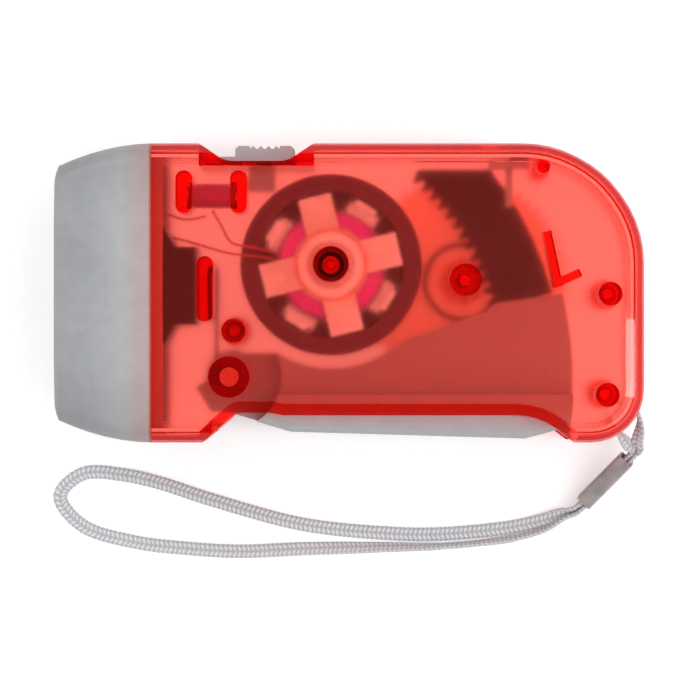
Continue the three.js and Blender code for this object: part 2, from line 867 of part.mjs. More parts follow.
function headOuter() {
  const layers = [headLayer(frontX, headFrontInset), headLayer(frontX + headFrontRound / 3, headFrontInset / 2)];
  for (let i = 0; i <= headSections; i += 1) {
    const run = headLength - headFrontRound;
    layers.push(headLayer(frontX + headFrontRound + (run * i) / headSections, 0));
  }
  return loft(layers);
}

function headTube(from, to, inset) {
  const steps = Math.max(2, Math.round((headSections * (to - from)) / headLength));
  const layers = [];
  for (let i = 0; i <= steps; i += 1) {
    layers.push(headLayer(from + ((to - from) * i) / steps, inset));
  }
  return loft(layers);
}

function dish(front) {
  const rise = dishRadius - dishDepth - headThinning;
  const ball = solidFrom(new THREE.SphereGeometry(dishRadius, wheelSides, wheelSides / 2));
  const depth = front ? bodyDepth + rise : -rise;
  return ball.translate([frontX - dishSetback, headMiddleY + dishOffset, depth]);
}

function lensBack() {
  return frontX + lensRecess + lensThickness;
}

function headBezel() {
  const skirtInset = wall + skirtGap;
  const boreInset = skirtInset + skirtWall;
  const skirt = headTube(collarX - skirtRoot, collarX + skirtReach, skirtInset);
  const bore = headTube(lensBack() - overrun, collarX + skirtReach + overrun, boreInset);
  const recess = headTube(frontX - overrun, lensBack(), lensRim + headFrontInset);
  return cut(joined(cut(headOuter(), dish(true), dish(false)), skirt), bore, recess);
}

function lens() {
  return headTube(frontX + lensRecess, lensBack(), lensRim + headFrontInset + lensGap);
}

const boreInset = wall + skirtGap + skirtWall;

function cupProfile(grow) {
  const throat = ledRadius + seatGap;
  const profile = [];
  for (let i = 0; i <= cupSteps; i += 1) {
    const share = i / cupSteps;
    profile.push([throat + grow + (cupRadius - cupWall - throat) * share ** cupPowerShare, cupDepth * (share - 1)]);
  }
  return profile;
}

function alongX(solid, y) {
  return solid.rotate([0, -90, 0]).translate([lensBack(), headMiddleY + y, seamZ]);
}

function lampOffsets() {
  return [-cupPitch, 0, cupPitch];
}

function reflector() {
  const plate = headTube(lensBack(), lensBack() + reflectorPlate, boreInset + lensGap);
  const middle = { x: 0, y: 0 };
  const shape = cupProfile(cupWall);
  const hole = cupProfile(0);
  const outer = turned([[0, -cupDepth], ...shape, [0, 0]], middle, cupSides);
  const inner = turned(
    [[0, -cupDepth - overrun], [hole[0][0], -cupDepth - overrun], ...hole, [hole.at(-1)[0], overrun], [0, overrun]],
    middle,
    cupSides,
  );
  const cups = lampOffsets().map((y) => alongX(outer, y));
  const holes = lampOffsets().map((y) => alongX(inner, y));
  return cut(joined(plate, ...cups), ...holes);
}

function led(y) {
  const base = -cupDepth - ledCollarLength - seatGap;
  const dome = 5;
  const profile = [[0, base], [ledCollar, base], [ledCollar, base + ledCollarLength], [ledRadius, base + ledCollarLength]];
  const shoulder = base + ledLength - ledRadius;
  for (let i = 0; i < dome; i += 1) {
    const angle = ((Math.PI / 2) * i) / dome;
    profile.push([ledRadius * Math.cos(angle), shoulder + ledRadius * Math.sin(angle)]);
  }
  profile.push([0, shoulder + ledRadius]);
  return alongX(turned(profile, { x: 0, y: 0 }, smallSides), y);
}

function boardFront() {
  return lensBack() + cupDepth + ledCollarLength + seatGap;
}

function boardHalf() {
  return { y: cupPitch + cupRadius - boardMargin, z: cupRadius + boardMargin };
}

function ledBoard() {
  const half = boardHalf();
  return block(
    [boardFront(), headMiddleY - half.y, seamZ - half.z],
    [boardFront() + boardThickness, headMiddleY + half.y, seamZ + half.z],
  );
}

function rectifier() {
  const left = boardFront() + boardThickness;
  const high = holderCentre - holderShoulderHalf - rectifierGap;
  return block(
    [left, high - rectifierWidth, seamZ - rectifierLength / 2],
    [left + rectifierHeight, high, seamZ + rectifierLength / 2],
  );
}

function ledHolder() {
  const right = collarX + holderBack;
  const shoulder = right - holderNeck;
  const left = boardFront() + boardThickness;
  const plateRight = left + holderPlate;
  const half = holderDepth / 2;
  const outline = [
    [left, holderPlateHalf], [left, -holderShoulderHalf], [shoulder - holderShoulder / 2, -holderShoulderHalf],
    [shoulder, -holderHalfWidth], [right, -holderHalfWidth], [right, holderHalfWidth],
    [shoulder, holderHalfWidth], [shoulder - holderShoulder / 2, holderShoulderHalf],
    [plateRight, holderShoulderHalf], [plateRight, holderPlateHalf],
  ].map(([x, y]) => new THREE.Vector2(x, holderCentre + y));
  return prism(outline, seamZ - half, seamZ + half);
}

// Lamp switch

function switchKnob() {
  const { left, right, plateLeft, plateLow, plateHigh, stemLeft } = knobPlace();
  const top = plateLow + knobHeight;
  const ends = knobLength * knobEndShare;
  const pitch = (knobLength - 2 * ends) / knobTeeth;
  const points = [[right, plateHigh - knobPlate / 2], [right, top - knobToothDepth], [right - ends / 4, top], [right - ends, top]];
  for (let i = 0; i < knobTeeth; i += 1) {
    const start = right - ends - i * pitch;
    points.push([start - pitch / 8, top - knobToothDepth], [start - pitch / 2, top]);
    points.push([start - pitch + pitch / 8, top - knobToothDepth]);
  }
  points.push([left + ends, top], [left + ends / 4, top], [left, top - knobToothDepth], [left, plateHigh - knobPlate / 2]);
  const grip = prism(points.map(([x, y]) => new THREE.Vector2(x, y)), seamZ - knobWidth / 2, seamZ + knobWidth / 2);
  const plate = block(
    [plateLeft, plateLow, seamZ - knobPlateWidth / 2],
    [right, plateHigh, seamZ + knobPlateWidth / 2],
  );
  const stem = block(
    [stemLeft, scoopFloor - stemReach, seamZ - stemWidth / 2],
    [stemLeft + stemLength, plateHigh, seamZ + stemWidth / 2],
  );
  return joined(grip, plate, stem);
}

function switchBody() {
  const right = knobPlace().right - switchInset;
  const top = scoopFloor - scoopWall;
  const body = block(
    [right - switchLength, top - switchHeight, seamZ - switchWidth / 2],
    [right, top, seamZ + switchWidth / 2],
  );
  const slot = block(
    [right - switchLength - overrun, top - switchSlotDepth, seamZ - stemWidth / 2 - seatGap],
    [right + overrun, top + overrun, seamZ + stemWidth / 2 + seatGap],
  );
  return cut(body, slot);
}

// Lock slide

function lockSlide() {
  const { left, right, neckLeft } = lockPlace();
  const buttonLow = topY - lockPocketDepth + seatGap / 2;
  const top = topY + lockProud;
  const bump = lockLength / 2;
  const pitch = (lockLength - bump) / lockRidges;
  const points = [[left, buttonLow], [right, buttonLow], [right, top - lockRidgeDepth], [right - bump / 4, top], [right - bump, top]];
  for (let i = 0; i < lockRidges; i += 1) {
    const start = right - bump - i * pitch;
    points.push([start - pitch / 4, top - lockRidgeDepth], [start - (pitch * 3) / 4, top]);
  }
  points.push([left, top - lockRidgeDepth]);
  const button = prism(points.map(([x, y]) => new THREE.Vector2(x, y)), seamZ - lockWidth / 2, seamZ + lockWidth / 2);
  const plateHigh = topY - wall - lockPlateGap;
  const plateLow = plateHigh - lockPlateThickness;
  const neck = block(
    [neckLeft, plateLow, seamZ - lockNeckWidth / 2],
    [neckLeft + lockNeckLength, buttonLow + seatGap, seamZ + lockNeckWidth / 2],
  );
  const plate = block(
    [left - lockPlateLead, plateLow, seamZ - lockPlateWidth / 2],
    [left - lockPlateLead + lockPlateLength, plateHigh, seamZ + lockPlateWidth / 2],
  );
  const armLeft = neckLeft - lockArmLength / 2;
  const armLow = sectorHigh + 2 * seatGap;
  const arm = block([armLeft, plateLow - lockArmReach, armLow], [armLeft + lockArmLength, plateHigh, armLow + lockArmWidth]);
  return joined(button, neck, plate, arm);
}

// Lever

const leverShares = [
  [-0.011, -0.58], [0.177, -0.888], [0.86, -1], [1.04, -0.727], [1.04, 1.405], [0.774, 1.19],
  [0.745, 1.045], [0.523, 0.622], [0.479, 0.468], [0.124, 0.387], [0, 0.387], [-0.05, 0.1],
  [-0.063, -0.018], [-0.104, -0.18], [-0.06, -0.58],
];
const gripShares = [[-0.011, -0.58], [0.177, -0.888], [0.86, -1], [1.04, -0.727]];

function leverPoint([across, up]) {
  return { x: pivot.x + across * leverReach, y: pivot.y + up * gripDrop };
}

function gripCorners() {
  const corners = gripShares.map((share) => ({ ...leverPoint(share), r: leverCornerRadius }));
  const top = pivot.y - gripTop + 2 * gripRound;
  return [...corners, { x: corners.at(-1).x, y: top }, { x: corners[0].x, y: top }];
}

function gripSolid() {
  const low = seamZ - gripWidth / 2;
  const high = seamZ + gripWidth / 2;
  const layer = (z, inset) => ({ outline: roundedOutline(gripCorners(), inset), at: (p) => [p.x, p.y, z] });
  const layers = [];
  for (let i = 0; i <= edgeSteps; i += 1) {
    const angle = ((Math.PI / 2) * i) / edgeSteps;
    layers.push(layer(low + gripRound * (1 - Math.cos(angle)), gripRound * (1 - Math.sin(angle))));
  }
  for (let i = edgeSteps; i >= 0; i -= 1) {
    const angle = ((Math.PI / 2) * i) / edgeSteps;
    layers.push(layer(high - gripRound * (1 - Math.cos(angle)), gripRound * (1 - Math.sin(angle))));
  }
  return cut(loft(layers), block([frontX, pivot.y - gripTop, 0], [tailX, topY, bodyDepth]));
}

function leverPocket(outline) {
  const inner = leverThinRadius + leverWall;
  const outer = pinionDistance;
  const span = prism(sector(inner, outer, -Math.PI / 4, Math.PI / 4, pivot), leverPlateLow - overrun, leverBodyHigh - leverSkin);
  const field = span
    .intersect(prism(outline, leverPlateLow - overrun, leverBodyHigh))
    .subtract(rod(rotor, rotorRadius + leverCornerRadius + leverWall, 0, bodyDepth, wheelSides))
    .subtract(block([frontX, baseY, 0], [tailX, pivot.y - gripTop, bodyDepth]));
  const ribs = [];
  for (let i = 1; i <= leverRibs; i += 1) {
    const x = pivot.x + inner + ((outer - inner) * i) / (leverRibs + 1);
    ribs.push(block([x, baseY, 0], [x + leverWall / 2, topY, bodyDepth]));
  }
  return cut(field, ...ribs);
}

function lever() {
  const corners = leverShares.map((share) => leverPoint(share));
  const outline = roundedOutline(corners);
  const thick = cut(
    joined(prism(outline, leverPlateLow, leverBodyHigh), gripSolid()),
    rod(pivot, leverThinRadius, 0, bodyDepth, wheelSides),
  );
  const hub = rod(pivot, leverHubRadius, leverPlateLow, leverPlateHigh);
  const whole = joined(prism(outline, leverPlateLow, leverPlateHigh), thick, hub);
  const reach = rod(pivot, leverReach, 0, bodyDepth, 3 * wheelSides);
  const sectorPocket = prism(
    sector(sectorPitch - 2 * gearModule, sectorOuter + pocketGap, pinionAngle - sectorTongueSweep() - pocketSweep(), Math.PI / 4, pivot),
    sectorLow - pocketGap,
    sectorHigh + pocketGap,
  );
  return cut(
    whole.intersect(reach),
    rod(rotor, rotorRadius + leverCornerRadius + seatGap, 0, bodyDepth, wheelSides),
    sectorPocket,
    leverPocket(roundedOutline(corners, leverWall)),
    rod(pivot, boreFor(pivotRadius), 0, bodyDepth),
  );
}

function sectorTongueSweep() {
  return pinionAngle - sectorToothAngle(-sectorTeethBelow) + sectorTongueAngle;
}

function pocketSweep() {
  return pocketGap / sectorPitch;
}

function leverPivotPin() {
  return rod(pivot, pivotRadius, 2 * wall + seatGap, ceilingZ - wall - seatGap);
}

function sectorGear() {
  const tongue = sector(
    sectorPitch + gearModule * dedendumShare + sectorTongueInset,
    sectorOuter - sectorTongueInset,
    pinionAngle - sectorTongueSweep(),
    sectorToothAngle(0),
    pivot,
  );
  const top = topY - wall - sectorTopGap;
  return cut(
    joined(prism(sectorOutline(), sectorLow, sectorHigh), prism(tongue, sectorLow, sectorHigh)),
    block([frontX, top, 0], [tailX, sectorOuter, bodyDepth]),
  );
}

// Gear train

function gearAxle() {
  return rod(axle, axleRadius, wall + seatGap, ceilingZ - 4 * wall - seatGap, smallSides);
}

function driveGear() {
  const phase = rotorAngle + Math.PI / driveGearTeeth;
  const high = driveGearHigh;
  const rim = (gearModule * driveGearTeeth) / 2 - gearModule * dedendumShare - gearRimWidth;
  const recess = [
    [gearHubRadius, high - gearWebDrop], [rim, high - gearWebDrop], [rim, high + overrun], [gearHubRadius, high + overrun],
  ];
  return cut(
    prism(gearOutline(driveGearTeeth, phase, axle), driveGearLow, high),
    turned(recess, axle, wheelSides),
    rod(axle, boreFor(axleRadius), 0, bodyDepth),
  );
}

function ratchetOutline() {
  const points = [];
  for (let i = 0; i < ratchetTeeth; i += 1) {
    const angle = (2 * Math.PI * i) / ratchetTeeth;
    points.push(polar(ratchetRadius - ratchetDepth, angle, axle), polar(ratchetRadius, angle, axle));
  }
  return points;
}

function drivePinion() {
  const neck = ratchetRadius - 2 * ratchetDepth;
  return cut(
    joined(
      prism(gearOutline(drivePinionTeeth, pinionAngle, axle), drivePinionLow, drivePinionHigh),
      prism(ratchetOutline(), ratchetLow, ratchetHigh),
      rod(axle, neck - ratchetDepth, ratchetLow, drivePinionLow + overrun),
    ),
    rod(axle, boreFor(axleRadius), 0, bodyDepth),
  );
}

function ratchetPawl() {
  const pawlRadius = ratchetRadius + pawlSpan;
  const spread = Math.atan2(pawlBand, pawlRadius);
  const low = driveGearHigh - gearWebDrop;
  const high = ratchetHigh;
  const band = sector(pawlRadius - pawlBand, pawlRadius, pawlOpening / 2, 2 * Math.PI - pawlOpening / 2, axle);
  const fingers = [1, 2].map((half) => {
    const angle = ((half * ratchetTeeth) / 2 - 0.5) * ((2 * Math.PI) / ratchetTeeth);
    const reach = ratchetRadius + pocketGap;
    const points = [
      polar(reach, angle, axle),
      polar(pawlRadius - pawlBand / 2, angle - spread, axle),
      polar(pawlRadius - pawlBand / 2, angle + spread, axle),
    ];
    return prism(points, ratchetLow, high);
  });
  return joined(prism(band, low, high), ...fingers);
}

// Rotor

function rotorPinion() {
  return cut(
    prism(gearOutline(rotorPinionTeeth, rotorAngle + Math.PI, rotor), rotorPinionLow, cupLow),
    rod(rotor, boreFor(shaftRadius, pressGap, smallSides), 0, bodyDepth, smallSides),
  );
}

function rotorShaft() {
  return rod(rotor, shaftRadius, wall + seatGap, shaftHigh(), smallSides);
}

function flywheel() {
  const bore = boreFor(shaftRadius, pressGap, smallSides);
  const top = cupHigh;
  const floor = cupLow + cupFloor;
  const profile = [[bore, cupLow], [rotorRadius, cupLow], [rotorRadius, top], [cupInner, top], [cupInner, floor], [bore, floor]];
  return turned(profile, rotor);
}

function ringMagnet() {
  const outer = cupInner - pressGap;
  const low = cupLow + cupFloor;
  const high = cupHigh - magnetInset;
  return turned([[magnetInner, low], [outer, low], [outer, high], [magnetInner, high]], rotor);
}

function rotorBush() {
  const high = backPlateLow + bushLength - seatGap;
  return cut(
    rod(rotor, bushRadius, backPlateLow, high),
    rod(rotor, boreFor(shaftRadius), 0, bodyDepth, smallSides),
  );
}

// Stator

// A claw stands on the end of an arm: its outline lies in the plane across the arm
function claw(angle, from, to) {
  const side = Math.sign(to - from);
  const outline = [[-clawArmWidth / 2, 0], [clawArmWidth / 2, 0], [clawTipWidth / 2, clawLength], [-clawTipWidth / 2, clawLength]];
  const solid = prism(outline.map(([x, y]) => new THREE.Vector2(x, side * y)), clawReach - clawThickness, clawReach);
  return solid.rotate([90, 0, 90]).rotate([0, 0, (angle * 180) / Math.PI]).translate([rotor.x, rotor.y, from]);
}

function clawPlate(low, phase, upward) {
  const high = low + clawThickness;
  const parts = [rod(rotor, clawHubRadius, low, high, wheelSides)];
  for (let i = 0; i < clawArms; i += 1) {
    const angle = phase + (2 * Math.PI * i) / clawArms;
    const arm = box([0, -clawArmWidth / 2], [clawReach, clawArmWidth / 2]);
    const placed = arm.map((point) => point.rotateAround(new THREE.Vector2(), angle).add(rotor));
    parts.push(prism(placed, low, high));
    parts.push(upward ? claw(angle, low, high) : claw(angle, high, low));
  }
  const bore = rotorSpigotRadius + runningGap;
  return cut(joined(...parts), rod(rotor, bore, 0, bodyDepth));
}

function coilBobbin() {
  const bore = rotorSpigotRadius + runningGap;
  const low = backPlateLow + clawThickness;
  const profile = [
    [bore, low], [bobbinRadius, low], [bobbinRadius, low + bobbinFlange], [bobbinCore, low + bobbinFlange],
    [bobbinCore, frontPlateLow - bobbinFlange], [bobbinFrontRadius, frontPlateLow - bobbinFlange],
    [bobbinFrontRadius, frontPlateLow], [bore, frontPlateLow],
  ];
  return turned(profile, rotor, windingSides);
}

function coil() {
  const low = backPlateLow + clawThickness + bobbinFlange;
  const high = frontPlateLow - bobbinFlange;
  const inner = bobbinCore + pressGap;
  const soft = bobbinFlange;
  const profile = [[inner, low], [coilRadius, low], [coilRadius, high - soft], [coilRadius - soft, high], [inner, high]];
  return turned(profile, rotor, windingSides);
}

// Return spring: a hairpin leg, the turns round the pivot, and a leg under the lever

function springPoints() {
  const start = (3 * Math.PI) / 4;
  const turns = springTurns + springTurnShare;
  const steps = Math.round(turns * springSteps);
  const coilHigh = springLow + springPitch * turns;
  const legX = pivot.x - springLegRun;
  const backX = legX - springHairpin;
  const legTop = pivot.y + springLegTop;
  const legMiddle = pivot.y + springLegTop / 2;
  const bend = springHairpin / 4;
  const leg = [
    [backX, legMiddle],
    [backX, legTop - 2 * bend],
    [backX + bend, legTop],
    [legX - bend, legTop],
    [legX, legTop - 2 * bend],
    [legX, legMiddle],
    [legX, pivot.y + springLegRise],
  ];
  const points = leg.map(([x, y]) => [x, y, coilHigh + springLift]);
  for (let i = 0; i <= steps; i += 1) {
    const turn = (2 * Math.PI * turns * i) / steps;
    const spot = polar(springRadius, start + turn, pivot);
    points.push([spot.x, spot.y, coilHigh - (springPitch * turn) / (2 * Math.PI)]);
  }
  const [footX, footY, footZ] = points.at(-1);
  const legY = pivot.y - gripTop + 2 * springWire;
  points.push([footX + springLeverLeg / 3, footY + springWire, footZ]);
  points.push([footX + (springLeverLeg * 2) / 3, legY, footZ + 2 * springPitch]);
  points.push([footX + springLeverLeg, legY, leverPlateLow - springWire - seatGap]);
  return points.map((point) => new THREE.Vector3(...point));
}

function springSelfGap(points) {
  let least = Infinity;
  const near = springSteps - 2;
  for (let i = 0; i < points.length; i += 1) {
    for (let j = i + near; j < points.length; j += 1) {
      least = Math.min(least, points[i].distanceTo(points[j]));
    }
  }
  const hairpin = springHairpin;
  return Math.min(least, hairpin) - 2 * springWire;
}

function sweepTube(points, radius, sides) {
  const place = [];
  const corners = [];
  let across = new THREE.Vector3(0, 0, 1);
  points.forEach((point, index) => {
    const before = points[Math.max(0, index - 1)];
    const after = points[Math.min(points.length - 1, index + 1)];
    const along = after.clone().sub(before).normalize();
    across = across.clone().addScaledVector(along, -across.dot(along)).normalize();
    const aside = along.clone().cross(across);
    for (let i = 0; i < sides; i += 1) {
      const angle = (2 * Math.PI * i) / sides;
      const rim = point.clone().addScaledVector(across, radius * Math.cos(angle));
      place.push(...rim.addScaledVector(aside, radius * Math.sin(angle)).toArray());
    }
  });
  for (let k = 0; k < points.length - 1; k += 1) {
    for (let i = 0; i < sides; i += 1) {
      const a = k * sides + i;
      const b = k * sides + ((i + 1) % sides);
      corners.push(a, b, b + sides, a, b + sides, a + sides);
    }
  }
  const last = (points.length - 1) * sides;
  for (let i = 1; i < sides - 1; i += 1) {
    corners.push(0, i + 1, i, last, last + i, last + i + 1);
  }
  const geometry = new THREE.BufferGeometry();
  geometry.setAttribute('position', new THREE.BufferAttribute(new Float32Array(place), 3));
  geometry.setIndex(corners);
  return solidFrom(geometry);
}

function returnSpring() {
  const points = springPoints();
  console.log('return spring, least gap to itself', springSelfGap(points).toFixed(3), 'mm');
  return sweepTube(points, springWire, springSides);
}

// Screws

function screw(place) {
  const headLow = counterbore - screwHeadHeight;
  const slot = block(
    [place.x - screwHeadRadius - overrun, place.y - screwSlotWidth / 2, headLow - overrun],
    [place.x + screwHeadRadius + overrun, place.y + screwSlotWidth / 2, headLow + screwSlotDepth],
  );
  return cut(
    joined(
      rod(place, screwHeadRadius, headLow, counterbore, boreSides),
      rod(place, screwRadius, headLow + screwSlotDepth, screwTop(), smallSides),
    ),
    slot,
  );
}

// Capacitor and wires

function capacitor() {
  const length = capacitorLength + 2 * capacitorHold;
  const profile = [
    [0, 0], [capacitorRadius - capacitorBead, 0], [capacitorRadius, capacitorBead],
    [capacitorRadius, length - capacitorBead], [capacitorRadius - capacitorBead, length], [0, length],
  ];
  return turned(profile, { x: 0, y: 0 }, smallSides)
    .rotate([0, 90, 0])
    .translate([capacitorLeft - capacitorHold, capacitorY, capacitorZ]);
}

function wire(points) {
  const path = new THREE.CatmullRomCurve3(points.map((point) => new THREE.Vector3(...point)));
  const outline = [];
  for (let i = 0; i < wireSides; i += 1) {
    outline.push(polar(wireRadius, (2 * Math.PI * i) / wireSides));
  }
  const steps = wireSteps * points.length;
  return solidFrom(new THREE.ExtrudeGeometry(new THREE.Shape(outline), { steps, extrudePath: path }));
}

// A lead runs over the rotor's rim and down to the winding's edge
function coilLead(from, entry) {
  const rimTop = cupHigh;
  const rim = polar(rotorRadius + leadClear, Math.PI - entry, rotor);
  const over = polar(magnetInner + leadRise, Math.PI - entry, rotor);
  const inside = polar(coilRadius + clawThickness, Math.PI - entry, rotor);
  return wire([
    [from.x, from.y, capacitorZ],
    [(from.x + rim.x) / 2, (from.y + rim.y) / 2, capacitorZ + leadRise],
    [rim.x, rim.y, rimTop + leadClear],
    [over.x, over.y, rimTop + leadClear - leadRise],
    [inside.x, inside.y, frontPlateLow],
  ]);
}

function coilLeads() {
  const starts = [
    { x: capacitorLeft + capacitorLength / 2, y: capacitorY - capacitorRadius - 2 * wireRadius },
    { x: collarX + leadStart, y: holderCentre + holderHalfWidth + leadOver },
  ];
  return starts.map((from, index) => coilLead(from, leadEntries[index]));
}

function ledLead() {
  const places = [
    boardFront() + boardThickness + holderPlate + lampLeadStand,
    collarX + skirtReach,
    capacitorLeft - ribWidth / 2,
    capacitorLeft + capacitorLength / 3,
  ];
  return wire(places.map((x, index) => [x, capacitorY - lampLeadDrops[index], capacitorZ]));
}

// Wrist strap. It stands on its edge in the ferrule and the slots, and lies flat on the ground.

// How far the band leans over at a height, so that its lower edge rests on the ground
function strapLean(height) {
  const reach = Math.hypot(strapWidth, strapThickness) / 2;
  const corner = Math.atan2(strapThickness, strapWidth);
  const lift = height - strapRest;
  if (lift > reach) {
    return corner * Math.max(0, (strapUprightFrom - height) / (strapUprightFrom - strapRest - reach));
  }
  return Math.min(Math.PI / 2, corner + Math.acos(lift / reach));
}

class StrapCurve extends THREE.CatmullRomCurve3 {
  computeFrenetFrames(segments) {
    const frames = { tangents: [], normals: [], binormals: [] };
    for (let i = 0; i <= segments; i += 1) {
      const tangent = this.getTangentAt(i / segments);
      const lean = strapLean(this.getPointAt(i / segments).z);
      const aside = new THREE.Vector3(0, 0, 1).cross(tangent).normalize().applyAxisAngle(tangent, lean);
      frames.tangents.push(tangent);
      frames.binormals.push(aside);
      frames.normals.push(aside.clone().cross(tangent));
    }
    return frames;
  }
}

function ferruleFrame() {
  const from = new THREE.Vector3(...ferruleFrom);
  const to = new THREE.Vector3(...ferruleTo);
  const along = to.clone().sub(from);
  const length = along.length();
  along.normalize();
  const aside = along.clone().cross(new THREE.Vector3(0, 0, 1)).normalize();
  const across = aside.clone().cross(along);
  return { from, to, along, aside, across, length };
}

// A strand runs straight through the ferrule and a little past both its ends
function strandPoints(side) {
  const { from, to, aside } = ferruleFrame();
  const shift = (side * (strapThickness + strandGap)) / 2;
  return strandShares.map((share) => from.clone().lerp(to, share).addScaledVector(aside, shift));
}

function strap() {
  const inner = strandPoints(1);
  const outer = strandPoints(-1);
  const path = [
    ...strapOutward.map((point) => new THREE.Vector3(...point)),
    ...inner,
    ...strapLoop.map((point) => new THREE.Vector3(...point)),
    ...outer.toReversed(),
    ...strapInward.map((point) => new THREE.Vector3(...point)),
  ];
  const curve = new StrapCurve(path);
  const bevel = strapThickness / 4;
  const w = strapWidth / 2;
  const t = strapThickness / 2;
  const outline = [
    [w, -t + bevel], [w, t - bevel], [w - bevel, t], [-w + bevel, t],
    [-w, t - bevel], [-w, -t + bevel], [-w + bevel, -t], [w - bevel, -t],
  ].map(([x, y]) => new THREE.Vector2(x, y));
  console.log('strap length', curve.getLength().toFixed(1), 'mm');
  return solidFrom(new THREE.ExtrudeGeometry(new THREE.Shape(outline), { steps: strapSteps, extrudePath: curve }));
}

function strapFerrule() {
  const { from, along, aside, across, length } = ferruleFrame();
  const halfWidth = strapThickness + strandGap / 2 + ferruleGap;
  const halfHeight = strapWidth / 2 + ferruleGap;
  const outer = roundedOutline(
    box([-halfWidth - ferruleWall, -halfHeight - ferruleWall], [halfWidth + ferruleWall, halfHeight + ferruleWall])
      .map((point) => ({ x: point.x, y: point.y, r: 2 * ferruleWall })),
  );
  const hole = block([-halfWidth, -halfHeight, -overrun], [halfWidth, halfHeight, length + overrun]);
  const solid = cut(prism(outer, 0, length), hole);
  const basis = new THREE.Matrix4().makeBasis(aside, across, along).setPosition(from);
  return solid.transform(basis.elements);
}

// Materials and the finished group

function finish(color, roughness, metalness = 0) {
  return new THREE.MeshStandardMaterial({ color, roughness, metalness });
}

const redClear = finish(0xff5a4a, 0.15);
const greyPlastic = finish(0xa6a9ad, 0.5);
const whitePlastic = finish(0xf1ece6, 0.4);
const blackPlastic = finish(0x17171a, 0.45);
const clearPlastic = finish(0xf4f8fa, 0.05);
const steel = finish(0xb9bcc0, 0.3, 1);
const brightMetal = finish(0xe4e4e6, 0.15, 1);
const brass = finish(0xc7a052, 0.3, 1);
const copperWire = finish(0xb03a6a, 0.4);
const violet = finish(0x6a2aa0, 0.35);
const boardGreen = finish(0x2c6b45, 0.5);
const braid = finish(0xc2c7c9, 0.85);

const flashlight = new THREE.Group();
flashlight.name = 'squeeze_flashlight';

function addPiece(name, solid, material) {
  const data = solid.asOriginal().simplify(leastDetail).getMesh();
  const geometry = new THREE.BufferGeometry();
  geometry.setAttribute('position', new THREE.BufferAttribute(new Float32Array(data.vertProperties), data.numProp));
  geometry.setIndex(new THREE.BufferAttribute(new Uint32Array(data.triVerts), 1));
  geometry.computeVertexNormals();
  const mesh = new THREE.Mesh(geometry, material);
  mesh.name = name;
  flashlight.add(mesh);
}

addPiece('front_shell', frontShell(), redClear);
addPiece('back_shell', backShell(), redClear);
addPiece('head_bezel', headBezel(), greyPlastic);
addPiece('lens', lens(), clearPlastic);
addPiece('reflector', reflector(), brightMetal);
lampOffsets().forEach((y, index) => addPiece(`led_${index + 1}`, led(y), clearPlastic));
addPiece('led_board', ledBoard(), boardGreen);
addPiece('rectifier', rectifier(), blackPlastic);
addPiece('led_holder', ledHolder(), blackPlastic);
addPiece('switch_knob', switchKnob(), greyPlastic);
addPiece('switch_body', switchBody(), greyPlastic);
addPiece('lock_slide', lockSlide(), greyPlastic);
addPiece('lever', lever(), greyPlastic);
addPiece('sector_gear', sectorGear(), blackPlastic);
addPiece('lever_pivot_pin', leverPivotPin(), steel);
addPiece('return_spring', returnSpring(), steel);
addPiece('gear_axle', gearAxle(), steel);
addPiece('drive_gear', driveGear(), whitePlastic);
addPiece('drive_pinion', drivePinion(), whitePlastic);
addPiece('ratchet_pawl', ratchetPawl(), whitePlastic);
addPiece('rotor_pinion', rotorPinion(), whitePlastic);
addPiece('rotor_shaft', rotorShaft(), steel);
addPiece('flywheel', flywheel(), blackPlastic);
addPiece('ring_magnet', ringMagnet(), blackPlastic);
addPiece('rotor_bush', rotorBush(), brass);
addPiece('stator_plate_back', clawPlate(backPlateLow, clawAngle + Math.PI / clawArms, true), brightMetal);
addPiece('stator_plate_front', clawPlate(frontPlateLow, clawAngle, false), brightMetal);
addPiece('coil_bobbin', coilBobbin(), whitePlastic);
addPiece('coil', coil(), copperWire);
addPiece('capacitor', capacitor(), violet);
coilLeads().forEach((lead, index) => addPiece(`coil_lead_${index + 1}`, lead, copperWire));
addPiece('led_lead', ledLead(), copperWire);
screwPlaces.forEach((place, index) => addPiece(`screw_${index + 1}`, screw(place), steel));
addPiece('strap', strap(), braid);
addPiece('strap_ferrule', strapFerrule(), brightMetal);

export default flashlight;
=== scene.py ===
"""A hand squeeze dynamo flashlight, dressed and lit as the photograph shows it.

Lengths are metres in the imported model's frame. +X runs from the lamp to the tail, +Y from the
lever to the switch and +Z up to the camera. The origin is on the ground under the body's middle.
"""

import json
import math

import bpy
import numpy as np
from mathutils import Matrix, Vector


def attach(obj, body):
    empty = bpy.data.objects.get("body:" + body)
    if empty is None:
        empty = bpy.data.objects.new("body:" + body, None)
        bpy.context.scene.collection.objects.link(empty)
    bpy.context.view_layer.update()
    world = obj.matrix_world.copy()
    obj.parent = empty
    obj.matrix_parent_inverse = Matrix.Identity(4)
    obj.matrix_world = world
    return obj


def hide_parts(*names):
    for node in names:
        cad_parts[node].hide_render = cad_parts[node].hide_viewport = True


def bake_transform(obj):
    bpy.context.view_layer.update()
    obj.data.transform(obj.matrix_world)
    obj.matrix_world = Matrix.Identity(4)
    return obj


MM = 0.001

